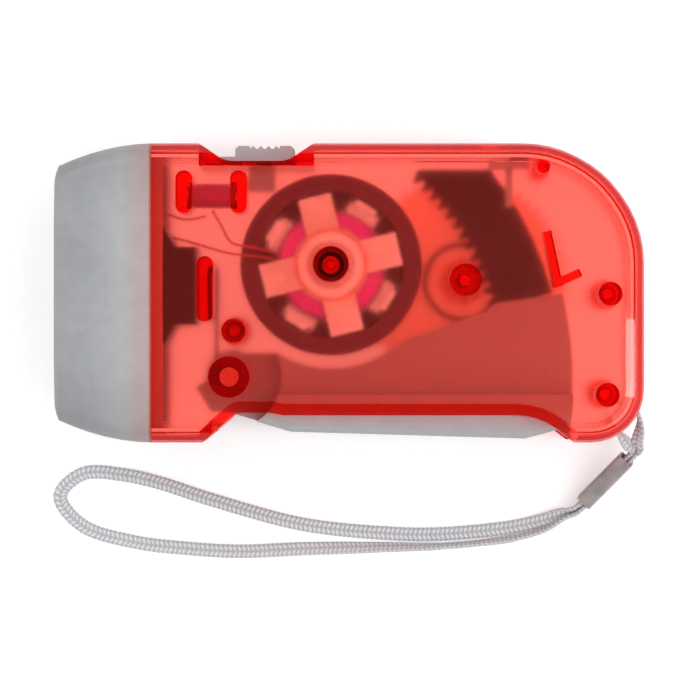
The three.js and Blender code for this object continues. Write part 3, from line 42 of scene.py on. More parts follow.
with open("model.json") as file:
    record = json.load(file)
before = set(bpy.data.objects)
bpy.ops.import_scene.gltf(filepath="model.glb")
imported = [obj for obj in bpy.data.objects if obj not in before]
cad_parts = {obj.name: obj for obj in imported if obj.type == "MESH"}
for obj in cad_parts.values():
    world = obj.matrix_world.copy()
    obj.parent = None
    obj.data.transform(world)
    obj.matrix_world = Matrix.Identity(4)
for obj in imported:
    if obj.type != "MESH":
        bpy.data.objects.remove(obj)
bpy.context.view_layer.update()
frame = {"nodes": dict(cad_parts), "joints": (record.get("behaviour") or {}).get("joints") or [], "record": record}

# Camera and picture. The picture's scale holds at SCALE_HEIGHT, and SENSOR is in millimetres.
PICTURE_PIXELS = 700
PIXELS_PER_MM = 5.62
SCALE_HEIGHT = 29.5 * MM
CAMERA_HEIGHT = 683 * MM
CAMERA_X = 0.18 * MM
CAMERA_Y = -10.28 * MM
CLIP_START = 10 * MM
CLIP_END = 10000 * MM
SENSOR = 36
BOUNCES = 40

# Lamps: name, place and size in millimetres, and watts
LAMPS = (
    ("key", (-480, 420, 700), (500, 400), 1.5),
    ("fill", (560, -300, 620), (500, 400), 0.7),
    ("side", (400, -45, 700), (110, 620), 1.5),
)

# Room. A rise is how far a direction points up, from 0 for level to 1 for straight up.
WORLD_STRENGTH = 0.8
WALL_STRENGTH = 0.2
WALL_RISE = 0.55
CEILING_STRENGTH = 0.024
CEILING_RISE = 0.85

# Floor
FLOOR_HALF = 3000 * MM
FLOOR_GREY = 0.84
FLOOR_ROUGHNESS = 0.9
FLOOR_GLOW = 0.36
FLOOR_BEHIND = 1.0

# Grain that every solid surface has, in lumps a millimetre
SLOW_PER_MM = 0.35
FINE_PER_MM = 4.0
NOISE_ROUGHNESS = 0.55
ROUGHNESS_SPREAD = 0.1
GRAIN_DEPTH = 0.01 * MM

# Clear plastic. RED_BODY is a colour with its density, and RED_HAZE a colour with its share where
# a face is seen squarely and what is added to the share at a glance.
CLEAR_ROUGHNESS = 0.02
CLEAR_IOR = 1.49
CLEAR_TINT = (0.97, 0.98, 1)
WAVES_PER_MM = 0.12
WAVE_BUMP = 0.12
WAVE_DEPTH = 0.05 * MM
RED_BODY = ((0.982, 0.3, 0.2), 600.0)
RED_HAZE = ((0.95, 0.02, 0.015), 0.028, 0.45)
RED_GRAIN = 0.23

# Unpigmented plastic
MILKY_COLOR = (1.0, 0.72, 0.62)
MILKY_SHARE = 0.88
MILKY_SCATTER = 0.6
MILKY_IOR = 1.15

# Solid surfaces, by the name of their material
GREY_PLASTIC = {"color": (0.39, 0.4, 0.415), "roughness": 0.42, "mottle": 0.04}
SURFACES = {
    "grey_plastic": GREY_PLASTIC,
    "white_plastic": {"color": (0.82, 0.79, 0.74), "roughness": 0.35, "mottle": 0.05},
    "black_plastic": {
        "color": (0.012, 0.008, 0.01), "roughness": 0.5, "mottle": 0.1, "bump": 0.02, "gloss": 0.05,
    },
    "magnet_black": {
        "color": (0.1, 0.03, 0.055), "roughness": 0.5, "mottle": 0.2, "bump": 0.03, "gloss": 0.2,
    },
    "board_green": {"color": (0.03, 0.16, 0.08), "roughness": 0.45, "mottle": 0.15},
    "violet_sleeve": {"color": (0.42, 0.02, 0.18), "roughness": 0.16, "mottle": 0.1, "bump": 0.03},
    "lead_lacquer": {"color": (0.55, 0.1, 0.1), "roughness": 0.35, "mottle": 0.1},
    "dark_wire": {"color": (0.012, 0.01, 0.01), "roughness": 0.4, "mottle": 0.2, "gloss": 0.15},
    "crimped_metal": {
        "color": (0.46, 0.42, 0.41), "roughness": 0.38, "mottle": 0.2, "metallic": 0.35,
    },
}

# Metals with fine marks along X, by the name of their material: colour and roughness
BRIGHT_METAL = ((0.95, 0.93, 0.9), 0.25)
METALS = {
    "bright_metal": BRIGHT_METAL,
    "steel": ((0.62, 0.62, 0.63), 0.28),
    "brass": ((0.74, 0.52, 0.2), 0.3),
}
MARKS_PER_MM = (0.3, 6, 6)
MARK_BUMP = 0.12
MARK_DEPTH = 0.01 * MM

# Winding
WINDING_COLOR = (0.85, 0.08, 0.7)
WINDING_SLOW_PER_MM = 1.2
WINDING_BANDS_PER_MM = 1.6
WINDING_WANDER = 1.2
WINDING_BUMP = 0.6
WINDING_DEPTH = 0.05 * MM

# Painted light and shade along the nose, over its flanks, over the lever's edge and round the front
# claw plate: painted shade toward the nose's front and flanks, painted red light from the shell beside
# the nose and on the lever's sheltered side, and round the claw plate a pale washer, a painted reddish
# shadow beside it and painted light toward the claw tips. Each is a share of the way with the colour
# that it multiplies by.
NOSE_FRONT = -52.5 * MM
NOSE_BACK = -33 * MM
NOSE_PAINTED_LIGHT_AND_SHADE = (
    (0.0, (0.8, 0.8, 0.8)), (0.27, (0.82, 0.82, 0.82)), (0.45, (0.91, 0.91, 0.91)),
    (0.62, (1.03, 1, 0.98)), (0.8, (1.12, 0.84, 0.8)), (0.87, (1.12, 0.84, 0.8)),
    (0.88, (1.25, 0.25, 0.2)),
)
NOSE_FLANK = 13 * MM
NOSE_SIDE = 25 * MM
FLANK_PAINTED_SHADE = ((0.0, (1.03, 1.03, 1.03)), (1.0, (0.84, 0.84, 0.84)))
LEVER_OPEN = -22.6 * MM
LEVER_SHELTERED = -21 * MM
LEVER_PAINTED_RED_LIGHT = ((0.0, (1.0, 1.0, 1.0)), (1.0, (1.0, 0.74, 0.7)))
CLAW_REACH = 14 * MM
CLAW_WASHER_AND_PAINTED_LIGHT = (
    (0.0, (0.12, 0.05, 0.08)), (0.22, (0.12, 0.05, 0.08)), (0.235, (0.7, 0.55, 0.5)),
    (0.285, (0.8, 0.7, 0.66)), (0.295, (0.4, 0.2, 0.16)), (0.31, (1, 0.98, 0.95)),
    (0.41, (1, 0.98, 0.95)), (0.425, (0.8, 0.36, 0.26)), (0.46, (0.84, 0.4, 0.3)),
    (0.5, (0.86, 0.76, 0.72)), (0.8, (0.9, 0.84, 0.8)), (1.0, (1, 1, 1)),
)

# Pieces that look unlike the rest of their slot
OWN_LOOKS = {
    "drive_gear": "natural_plastic",
    "drive_pinion": "natural_plastic",
    "ratchet_pawl": "natural_plastic",
    "rotor_pinion": "natural_plastic",
    "coil_lead_1": "lead_lacquer",
    "coil_lead_2": "lead_lacquer",
    "led_lead": "lead_lacquer",
    "strap_ferrule": "crimped_metal",
    "head_bezel": "nose_plastic",
    "lever": "lever_plastic",
    "stator_plate_front": "claw_metal",
}

# Edges
BEVELLED = {"grey_plastic", "white_plastic", "black_plastic", "magnet_black", "bright_metal", "steel"}
SMOOTH_ANGLE = math.radians(32)
EDGE_ANGLE = math.radians(40)
EDGE_WIDTH = 0.12 * MM
SHELL_HAIR = 0.01 * MM

# Wrist strap, with the route of the solid model in millimetres
STRAP_WIDTH = 2.6 * MM
STRAP_THICKNESS = 0.8 * MM
STRAP_REST = 0.05 * MM
STRAP_UPRIGHT_FROM = 2.1 * MM
STRAP_TURN = math.radians(58)
STRAP_TURN_FROM = 6.2 * MM
STRAP_TURN_TO = 8.5 * MM
STRAND_GAP = 0.14 * MM
STRAND_SHARES = (-0.2, 0.5, 1.2)
FERRULE_FROM = (51.2, -30.4, 5.6)
FERRULE_TO = (43.6, -38.4, 2.4)
STRAP_OUTWARD = ((47.2, -22.4, 8.5), (48.9, -24.6, 8.5), (50.2, -26.4, 8.2), (51.4, -27.8, 7.2))
STRAP_LOOP = (
    (40.9, -40, 1.5), (37.1, -41.5, 0.8), (31.8, -42.9, 0.45), (25.1, -43.85, 0.45),
    (16.2, -44.5, 0.45), (8.5, -44.4, 0.45), (-8.4, -42.7, 0.45), (-26.2, -37.9, 0.45),
    (-35.1, -35, 0.45), (-41.8, -33.5, 0.45), (-49.2, -33.2, 0.45), (-53.4, -36.5, 0.45),
    (-53.5, -38.5, 0.45), (-49.2, -43.1, 0.45), (-39.6, -46, 0.45), (-30.7, -47.1, 0.45),
    (-20.3, -47.7, 0.45), (-8.4, -47.2, 0.8), (6, -46.9, 1.3), (16.9, -46.7, 1.41),
    (25.1, -46, 1.41), (31, -45.1, 1.41), (36.2, -43.6, 1.5), (40.2, -41.3, 1.8),
)
STRAP_INWARD = (
    (53, -27.2, 7.4), (53.4, -25.1, 8.2), (53.4, -23.1, 8.5), (52.75, -21.5, 8.5),
    (51.2, -20.6, 8.5), (49, -19.67, 8.5),
)

# The strap's braid and yarn
BRAID_PITCH = 0.85 * MM
BRAID_WALES = 8
BRAID_SLANT = 0.55
BRAID_GROOVE = 0.3
BRAID_WANDER = 0.5
BRAID_WANDER_PER_MM = 1.1
BRAID_DEPTH = 0.05 * MM
BRAID_STEP = 0.17 * MM
BRAID_SIDES = 24
BRAID_SQUARENESS = 0.7
# The yarn's colour by the braid's height: painted shade in the grooves, painted light on the ridges.
YARN_PAINTED_GROOVE_SHADE = ((0.0, (0.42, 0.42, 0.44)), (0.4, (0.6, 0.61, 0.64)), (1.0, (0.76, 0.77, 0.8)))
YARN_ROUGHNESS = 0.75
YARN_SHEEN = 0.3
YARN_PER_MM = 9.0
YARN_SHARE = 0.5
YARN_BUMP = 0.45
YARN_DEPTH = 0.09 * MM

# Return spring, as in the solid model but with a thicker wire. SPRING_WIRE is the wire's radius.
SPRING_WIRE = 0.36 * MM
SPRING_RADIUS = 4.4 * MM
SPRING_TURNS = 3.375
SPRING_PITCH = 1.05 * MM
SPRING_START = 3 * math.pi / 4
SPRING_LOW = 6.4 * MM
SPRING_LIFT = 0.35 * MM
SPRING_HAIRPIN = 1.05 * MM
SPRING_LEG_TOP = 19.8 * MM
SPRING_LEG_RUN = 2.85 * MM
SPRING_LEG_RISE = 7.5 * MM
SPRING_LEVER_LEG = 14 * MM
SPRING_LEVER_DROP = 2.6 * MM
SPRING_LEVER_HIGH = 10.2 * MM
SPRING_STEPS = 32
SPRING_SPAN_STEPS = 6
SPRING_STEP = 0.4 * MM
SPRING_SIDES = 10


# Curves and tubes


def catmull_rom(points, per_span=24):
    """Points along the centripetal curve that the solid model's strap follows."""
    tiny = 1e-9
    p = [np.array(point, float) for point in points]
    p = [2 * p[0] - p[1], *p, 2 * p[-1] - p[-2]]
    line = []
    for a, b, c, d in zip(p, p[1:], p[2:], p[3:]):
        ab, bc, cd = (max(np.linalg.norm(v) ** 0.5, tiny) for v in (b - a, c - b, d - c))
        start = ((b - a) / ab - (c - a) / (ab + bc) + (c - b) / bc) * bc
        end = ((c - b) / bc - (d - b) / (bc + cd) + (d - c) / cd) * bc
        for i in range(per_span):
            t = i / per_span
            line.append(
                b + start * t
                + (3 * (c - b) - 2 * start - end) * t**2
                + (2 * (b - c) + start + end) * t**3
            )
    line.append(p[-2])
    return np.array(line)


def evenly(line, step):
    """The same line with its points one step apart."""
    gone = np.concatenate([[0], np.cumsum(np.linalg.norm(np.diff(line, axis=0), axis=1))])
    at = np.linspace(0, gone[-1], max(2, round(gone[-1] / step) + 1))
    return np.stack([np.interp(at, gone, line[:, k]) for k in range(3)], axis=1)


def directions(line):
    steps = np.gradient(line, axis=0)
    return steps / np.linalg.norm(steps, axis=1)[:, None]


def tube_faces(last, count):
    """The faces of a closed tube of last + 1 rings, and their UV corners."""
    faces = []
    uvs = []
    for k in range(last):
        for i in range(count):
            j = (i + 1) % count
            faces.append((k * count + i, k * count + j, (k + 1) * count + j, (k + 1) * count + i))
            here, there = i / count, (i + 1) / count
            uvs += [(k / last, here), (k / last, there)]
            uvs += [((k + 1) / last, there), ((k + 1) / last, here)]
    for k in (0, last):
        loop = [k * count + i for i in range(count)]
        faces.append(tuple(reversed(loop) if k == 0 else loop))
        uvs += [(k / last, 0)] * count
    return faces, uvs


def tube_object(name, rings):
    """A closed tube through rings of equal counts, with a UV map of its length and its way round."""
    faces, uvs = tube_faces(len(rings) - 1, len(rings[0]))
    mesh = bpy.data.meshes.new(name)
    mesh.from_pydata([tuple(point) for ring in rings for point in ring], [], faces)
    layer = mesh.uv_layers.new(name="route")
    for loop, uv in zip(layer.data, uvs):
        loop.uv = uv
    mesh.polygons.foreach_set("use_smooth", [True] * len(mesh.polygons))
    mesh.validate()
    mesh.update()
    piece = bpy.data.objects.new(name, mesh)
    bpy.context.scene.collection.objects.link(piece)
    return piece


# Nodes


def new_material(name):
    material = bpy.data.materials.new(name)
    material.use_nodes = True
    material.node_tree.nodes.clear()
    return material


def node(material, kind, **values):
    """A new node, with its sockets and settings filled in by name."""
    made = material.node_tree.nodes.new(f"ShaderNode{kind}")
    for key, value in values.items():
        socket = key.replace("_", " ")
        if socket in made.inputs:
            made.inputs[socket].default_value = value
        else:
            setattr(made, key, value)
    return made


def link(material, source, target):
    material.node_tree.links.new(source, target)


def feed(material, value, target):
    """Sets a socket to a number, or links it to another node's output."""
    if isinstance(value, (int, float)):
        target.default_value = value
    else:
        link(material, value, target)


def added(material, *values):
    """The sum of some node outputs and numbers."""
    total = values[0]
    for value in values[1:]:
        both = node(material, "Math", operation="ADD")
        feed(material, total, both.inputs[0])
        feed(material, value, both.inputs[1])
        total = both.outputs["Value"]
    return total


def times(material, a, b):
    both = node(material, "Math", operation="MULTIPLY")
    feed(material, a, both.inputs[0])
    feed(material, b, both.inputs[1])
    return both.outputs["Value"]


def folded(material, value, reach):
    """Runs up to reach and back to 0, over and over."""
    fold = node(material, "Math", operation="PINGPONG")
    feed(material, value, fold.inputs[0])
    fold.inputs[1].default_value = reach
    return fold.outputs["Value"]


def between(material, value, start, end):
    """How far a value lies between two others, from 0 to 1."""
    share = node(material, "MapRange")
    share.inputs["From Min"].default_value = start
    share.inputs["From Max"].default_value = end
    feed(material, value, share.inputs["Value"])
    return share.outputs["Result"]


def place_along(material, axis, start, end):
    """How far a point lies between two places along an axis of the frame, from 0 to 1."""
    place = node(material, "TexCoord")
    parts = node(material, "SeparateXYZ")
    link(material, place.outputs["Object"], parts.inputs["Vector"])
    return between(material, parts.outputs[axis], start, end)


def from_rotor(material, **values):
    """Where a point lies from the rotor's axis."""
    middle = rotor_axis()
    place = node(material, "TexCoord")
    shift = node(material, "Mapping", Location=(-middle.x, -middle.y, 0), **values)
    link(material, place.outputs["Object"], shift.inputs["Vector"])
    return shift.outputs["Vector"]


def object_noise(material, per_mm, detail=3.0):
    """A noise texture in the object's own space, with so many lumps a millimetre."""
    place = node(material, "TexCoord")
    noise = node(material, "TexNoise", Scale=per_mm / MM, Detail=detail, Roughness=NOISE_ROUGHNESS)
    link(material, place.outputs["Object"], noise.inputs["Vector"])
    return noise.outputs["Fac"]


def grey(value):
    return (value, value, value)


def ramp(material, source, stops):
    made = node(material, "ValToRGB")
    elements = made.color_ramp.elements
    while len(elements) < len(stops):
        elements.new(0.5)
    for element, (position, color) in zip(elements, stops):
        element.position = position
        element.color = (*color, 1)
    link(material, source, made.inputs["Fac"])
    return made.outputs["Color"]


def raise_by(material, shader, height, strength, depth):
    """Bends a shader's normals by a height."""
    raised = node(material, "Bump", Strength=strength, Distance=depth)
    link(material, height, raised.inputs["Height"])
    link(material, raised.outputs["Normal"], shader.inputs["Normal"])


def mixed(material, share, first, second):
    both = node(material, "MixShader")
    feed(material, share, both.inputs[0])
    link(material, first, both.inputs[1])
    link(material, second, both.inputs[2])
    return both.outputs["Shader"]


def show(material, shader):
    """Makes a shader the material's surface."""
    output = node(material, "OutputMaterial")
    link(material, shader, output.inputs["Surface"])
    return output


# Materials


def surface(
    name, color, roughness, mottle, metallic=0.0, bump=0.15, gloss=0.5, slow_per_mm=SLOW_PER_MM,
):
    """A solid surface: its colour and roughness wander slowly, and a fine grain lies over it."""
    material = new_material(name)
    shader = node(material, "BsdfPrincipled", Metallic=metallic)
    shader.inputs["Specular IOR Level"].default_value = gloss
    slow = object_noise(material, slow_per_mm)
    dark = [c * (1 - mottle) for c in color]
    light = [min(1, c * (1 + mottle)) for c in color]
    tint = ramp(material, slow, [(0.3, dark), (0.7, light)])
    link(material, tint, shader.inputs["Base Color"])
    smooth_end = grey(roughness * (1 - ROUGHNESS_SPREAD))
    rough_end = grey(min(1, roughness * (1 + ROUGHNESS_SPREAD)))
    wander = ramp(material, slow, [(0.25, smooth_end), (0.75, rough_end)])
    link(material, wander, shader.inputs["Roughness"])
    fine = object_noise(material, FINE_PER_MM, detail=2.0)
    raise_by(material, shader, fine, bump, GRAIN_DEPTH)
    show(material, shader.outputs["BSDF"])
    return material, shader


def hazy(material, solid, color, squarely, at_a_glance):
    """Mixes scattered light in, and more of it where a face is seen at a glance."""
    scattered = node(material, "BsdfDiffuse")
    scattered.inputs["Color"].default_value = (*color, 1)
    glance = node(material, "LayerWeight").outputs["Facing"]
    share = times(material, times(material, glance, glance), at_a_glance)
    return mixed(material, added(material, share, squarely), solid, scattered.outputs["BSDF"])


def open_to_light(material, solid):
    """Lets shadow and diffuse rays pass, so that the lamps reach what lies inside."""
    passing = node(material, "BsdfTransparent")
    rays = node(material, "LightPath")
    light = node(material, "Math", operation="MAXIMUM")
    link(material, rays.outputs["Is Shadow Ray"], light.inputs[0])
    link(material, rays.outputs["Is Diffuse Ray"], light.inputs[1])
    return mixed(material, light.outputs["Value"], solid, passing.outputs["BSDF"])


def absorb(material, output, color, density):
    absorbing = node(material, "VolumeAbsorption", Density=density)
    absorbing.inputs["Color"].default_value = (*color, 1)
    link(material, absorbing.outputs["Volume"], output.inputs["Volume"])


def clear(name, color, inside=0.0, body=None, haze=None):
    """Clear plastic that lets lamps through.

    inside is how much rougher its faces are on the plastic's own side, as from a grained mould.
    body is what the plastic absorbs and haze what it scatters, as RED_BODY and RED_HAZE are.
    """
    material = new_material(name)
    glass = node(material, "BsdfPrincipled", Roughness=CLEAR_ROUGHNESS, IOR=CLEAR_IOR)
    glass.inputs["Base Color"].default_value = (*color, 1)
    glass.inputs["Transmission Weight"].default_value = 1
    waves = object_noise(material, WAVES_PER_MM, detail=1.0)
    raise_by(material, glass, waves, WAVE_BUMP, WAVE_DEPTH)
    if inside:
        side = node(material, "NewGeometry")
        grain = times(material, side.outputs["Backfacing"], inside)
        link(material, added(material, grain, CLEAR_ROUGHNESS), glass.inputs["Roughness"])
    solid = glass.outputs["BSDF"]
    if haze:
        solid = hazy(material, solid, *haze)
    output = show(material, open_to_light(material, solid))
    if body:
        absorb(material, output, *body)
    return material


def multiply_by_painted_light(material, shader, share, stops):
    """Multiplies a surface's colour by a ramp, which here paints light and shade."""
    plain = shader.inputs["Base Color"].links[0].from_socket
    both = node(material, "VectorMath", operation="MULTIPLY")
    link(material, plain, both.inputs[0])
    link(material, ramp(material, share, stops), both.inputs[1])
    link(material, both.outputs["Vector"], shader.inputs["Base Color"])


def nose_plastic():
    """The nose's grey, with painted shade at its front and flanks and painted red light by the shell."""
    material, shader = surface("nose_plastic", **GREY_PLASTIC)
    multiply_by_painted_light(material, shader, place_along(material, "X", NOSE_FRONT, NOSE_BACK), NOSE_PAINTED_LIGHT_AND_SHADE)
    high = place_along(material, "Y", NOSE_FLANK, NOSE_SIDE)
    low = place_along(material, "Y", -NOSE_FLANK, -NOSE_SIDE)
    multiply_by_painted_light(material, shader, added(material, high, low), FLANK_PAINTED_SHADE)
    return material


def lever_plastic():
    """The lever's grey, with painted red light where it lies in the shells."""
    material, shader = surface("lever_plastic", **GREY_PLASTIC)
    share = place_along(material, "Y", LEVER_OPEN, LEVER_SHELTERED)
    multiply_by_painted_light(material, shader, share, LEVER_PAINTED_RED_LIGHT)
    return material


def brushed(name, color, roughness):
    """Metal with fine marks along X."""
    material, shader = surface(name, color, roughness, mottle=0.05, metallic=1.0, bump=0.05)
    place = node(material, "TexCoord")
    stretch = node(material, "Mapping", Scale=tuple(marks / MM for marks in MARKS_PER_MM))
    lines = node(material, "TexNoise", Scale=1.0, Detail=2.0)
    link(material, place.outputs["Object"], stretch.inputs["Vector"])
    link(material, stretch.outputs["Vector"], lines.inputs["Vector"])
    raise_by(material, shader, lines.outputs["Fac"], MARK_BUMP, MARK_DEPTH)
    return material, shader


def claw_metal():
    """The front claw plate: dark at the bearing, a pale washer, a painted shadow by it, painted light at the tips.
    """
    material, shader = brushed("claw_metal", *BRIGHT_METAL)
    far = node(material, "VectorMath", operation="LENGTH")
    link(material, from_rotor(material, Scale=(1, 1, 0)), far.inputs[0])
    multiply_by_painted_light(material, shader, between(material, far.outputs["Value"], 0, CLAW_REACH), CLAW_WASHER_AND_PAINTED_LIGHT)
    return material


def milky(name, color, share):
    """Unpigmented moulded plastic: a share of the light goes through it, scattered."""
    material, shader = surface(name, color, roughness=0.4, mottle=0.03, bump=0.01)
    passing = node(material, "BsdfRefraction", Roughness=MILKY_SCATTER, IOR=MILKY_IOR)
    passing.inputs["Color"].default_value = (*color, 1)
    both = mixed(material, share, shader.outputs["BSDF"], passing.outputs["BSDF"])
    output = next(n for n in material.node_tree.nodes if n.type == "OUTPUT_MATERIAL")
    link(material, both, output.inputs["Surface"])
    return material


def winding(name, color):
    """Fine lacquered wire: rings of close bands round the rotor's axis."""
    material, shader = surface(name, color, 0.3, mottle=0.2, slow_per_mm=WINDING_SLOW_PER_MM)
    bands = node(material, "TexWave", Scale=WINDING_BANDS_PER_MM / MM, Distortion=WINDING_WANDER, Detail=1.0)
    bands.wave_type = "RINGS"
    bands.rings_direction = "Z"
    link(material, from_rotor(material), bands.inputs["Vector"])
    raise_by(material, shader, bands.outputs["Fac"], WINDING_BUMP, WINDING_DEPTH)
    return material


def braid_relief(material, length):
    """Wales of slanting stitches, each with a groove beside it, as a height from 0 to 1."""
    place = node(material, "UVMap", uv_map="route")
    parts = node(material, "SeparateXYZ")
    link(material, place.outputs["UV"], parts.inputs["Vector"])
    wale = folded(material, times(material, parts.outputs["Y"], BRAID_WALES), 1)
    along = times(material, parts.outputs["X"], length / BRAID_PITCH)
    wander = times(material, object_noise(material, BRAID_WANDER_PER_MM, detail=1.0), BRAID_WANDER)
    phase = added(material, along, times(material, wale, BRAID_SLANT), wander)
    stitch = node(material, "Math", operation="SINE")
    link(material, times(material, phase, 2 * math.pi), stitch.inputs[0])
    groove = between(material, folded(material, wale, 0.5), 0, BRAID_GROOVE)
    ridge = added(material, times(material, stitch.outputs["Value"], 0.5), 0.5)
    return times(material, ridge, groove)


def braid_material(length):
    """Light grey yarn in a flat braid, with painted shade in its grooves and painted light on its ridges."""
    material = new_material("braid")
    shader = node(material, "BsdfPrincipled", Roughness=YARN_ROUGHNESS)
    shader.inputs["Sheen Weight"].default_value = YARN_SHEEN
    relief = braid_relief(material, length)
    link(material, ramp(material, relief, YARN_PAINTED_GROOVE_SHADE), shader.inputs["Base Color"])
    yarn = times(material, object_noise(material, YARN_PER_MM, detail=2.0), YARN_SHARE)
    raise_by(material, shader, added(material, relief, yarn), YARN_BUMP, YARN_DEPTH)
    show(material, shader.outputs["BSDF"])
    return material


# Places taken from the frame


def joint_point(name):
    joint = next(j for j in frame["joints"] if j["name"] == name)
    return Vector(joint["pos_m"])


def pivot_axis():
    return joint_point("lever_swing")


def rotor_axis():
    return joint_point("rotor_spin")


# Dressing the solid model's own nodes


def slot_materials():
    made = {
        "red_clear": clear("red_clear", (1, 1, 1), RED_GRAIN, RED_BODY, RED_HAZE),
        "clear_plastic": clear("clear_plastic", CLEAR_TINT),
    }
    for name, traits in SURFACES.items():
        made[name] = surface(name, **traits)[0]
    for name, (color, roughness) in METALS.items():
        made[name] = brushed(name, color, roughness)[0]
    made["winding"] = winding("winding", WINDING_COLOR)
    made["natural_plastic"] = milky("natural_plastic", MILKY_COLOR, MILKY_SHARE)
    made["nose_plastic"] = nose_plastic()
    made["lever_plastic"] = lever_plastic()
    made["claw_metal"] = claw_metal()
    return made


def smooth(mesh):
    mesh.polygons.foreach_set("use_smooth", [True] * len(mesh.polygons))
    mesh.set_sharp_from_angle(angle=SMOOTH_ANGLE)


def keep_apart(piece):
    """Draws the faces in by a hair, so that two clear halves never share a face."""
    inward = piece.modifiers.new("hair", "DISPLACE")
    inward.strength = -SHELL_HAIR
    inward.mid_level = 0


def soften_edges(piece):
    bevel = piece.modifiers.new("edges", "BEVEL")
    bevel.width = EDGE_WIDTH
    bevel.segments = 2
    bevel.limit_method = "ANGLE"
    bevel.angle_limit = EDGE_ANGLE
    bevel.harden_normals = True


def dress_nodes(materials):
    """Gives each node its look. The strap's slot has none, because the strap is made anew."""
    slots = {part["node"]: part["material_slot"] for part in frame["record"]["subparts"]}
    for name, piece in frame["nodes"].items():
        slot = slots[name]
        if slot not in materials:
            continue
        smooth(piece.data)
        piece.data.materials.clear()
        piece.data.materials.append(materials[OWN_LOOKS.get(name, slot)])
        if slot in BEVELLED:
            soften_edges(piece)
        if slot == "red_clear":
            keep_apart(piece)


# Wrist strap


def strap_route():
    """The line of the strap: out of the tail, through the ferrule, round the loop and back."""
    start, end = np.array(FERRULE_FROM), np.array(FERRULE_TO)
    along = (end - start) / np.linalg.norm(end - start)
    aside = np.cross(along, (0, 0, 1))
    aside /= np.linalg.norm(aside)
    shift = (STRAP_THICKNESS + STRAND_GAP) / MM / 2
    out, back = (
        [start + (end - start) * share + side * shift * aside for share in STRAND_SHARES]
        for side in (1, -1)
    )
    points = [*STRAP_OUTWARD, *out, *STRAP_LOOP, *reversed(back), *STRAP_INWARD]
    return evenly(catmull_rom(points) * MM, BRAID_STEP)


def strap_lean(height):
    """How far the band leans over at a height, so that its lower edge rests on the ground."""
    reach = math.hypot(STRAP_WIDTH, STRAP_THICKNESS) / 2
    corner = math.atan2(STRAP_THICKNESS, STRAP_WIDTH)
    lift = height - STRAP_REST
    if lift > reach:
        room = STRAP_UPRIGHT_FROM - STRAP_REST - reach
        return corner * max(0.0, (STRAP_UPRIGHT_FROM - height) / room)
    return min(math.pi / 2, corner + math.acos(lift / reach))


def strap_turn(height):
    """How far the band turns its flat side up on its way from the tail to the ferrule."""
    share = (height - STRAP_TURN_FROM) / (STRAP_TURN_TO - STRAP_TURN_FROM)
    return STRAP_TURN * math.sqrt(abs(math.sin(math.pi * min(1.0, max(0.0, share)))))


def braid_height(along, around):
    """The braid's stitches as low ridges, slanting one way and then the other."""
    wale = 1 - abs(around * BRAID_WALES % 2 - 1)
    return math.sin(2 * math.pi * (along / BRAID_PITCH + BRAID_SLANT * wale))


def squared(value):
    """Pushes a cosine or sine outward, so that a round section gets flatter sides."""
    return math.copysign(abs(value) ** BRAID_SQUARENESS, value)


def strap_ring(index, point, tangent):
    """The strap's section at one step of its line."""
    half = STRAP_WIDTH / 2 - BRAID_DEPTH
    thin = STRAP_THICKNESS / 2
    aside = Vector(np.cross((0, 0, 1), tangent)).normalized()
    lean = strap_lean(point[2]) + strap_turn(point[2])
    aside = Matrix.Rotation(lean, 3, Vector(tangent)) @ aside
    up = aside.cross(Vector(tangent))
    ring = []
    for i in range(BRAID_SIDES):
        angle = 2 * math.pi * i / BRAID_SIDES
        x, y = squared(math.cos(angle)), squared(math.sin(angle))
        lump = BRAID_DEPTH * braid_height(index * BRAID_STEP, i / BRAID_SIDES)
        spot = up * (x * (half + lump)) + aside * (y * (thin + lump))
        ring.append(Vector(point) + spot)
    return ring


def make_strap():
    line = strap_route()
    rings = [
        strap_ring(index, point, tangent)
        for index, (point, tangent) in enumerate(zip(line, directions(line)))
    ]
    length = float(np.linalg.norm(np.diff(line, axis=0), axis=1).sum())
    strap = tube_object("wrist_strap", rings)
    strap.data.materials.append(braid_material(length))
    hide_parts("strap")
    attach(strap, "housing")


# Return spring


def spring_leg(pivot, coil_high):
    """The hairpin leg that stands up from the coil."""
    leg_x = pivot.x - SPRING_LEG_RUN
    back_x = leg_x - SPRING_HAIRPIN
    top = pivot.y + SPRING_LEG_TOP
    middle = pivot.y + SPRING_LEG_TOP / 2
    bend = SPRING_HAIRPIN / 4
    high = coil_high + SPRING_LIFT
    return [
        (back_x, middle, high), (back_x, top - 2 * bend, high), (back_x + bend, top, high),
        (leg_x - bend, top, high), (leg_x, top - 2 * bend, high), (leg_x, middle, high),
        (leg_x, pivot.y + SPRING_LEG_RISE, high),
    ]


def spring_line():
    """The line of the spring's wire: the hairpin leg, the coil and the leg under the lever."""
    pivot = pivot_axis()
    high = SPRING_LOW + SPRING_PITCH * SPRING_TURNS
    points = spring_leg(pivot, high)
    steps = round(SPRING_TURNS * SPRING_STEPS)
    for i in range(steps + 1):
        turn = 2 * math.pi * SPRING_TURNS * i / steps
        angle = SPRING_START + turn
        points.append((
            pivot.x + SPRING_RADIUS * math.cos(angle), pivot.y + SPRING_RADIUS * math.sin(angle),
            high - SPRING_PITCH * turn / (2 * math.pi),
        ))
    foot = points[-1]
    drop = pivot.y - SPRING_LEVER_DROP
    points += [
        (foot[0] + SPRING_LEVER_LEG / 3, foot[1] + SPRING_WIRE, foot[2]),
        (foot[0] + SPRING_LEVER_LEG * 2 / 3, drop, foot[2] + 2 * SPRING_PITCH),
        (foot[0] + SPRING_LEVER_LEG, drop, SPRING_LEVER_HIGH),
    ]
    return evenly(catmull_rom(points, per_span=SPRING_SPAN_STEPS), SPRING_STEP)


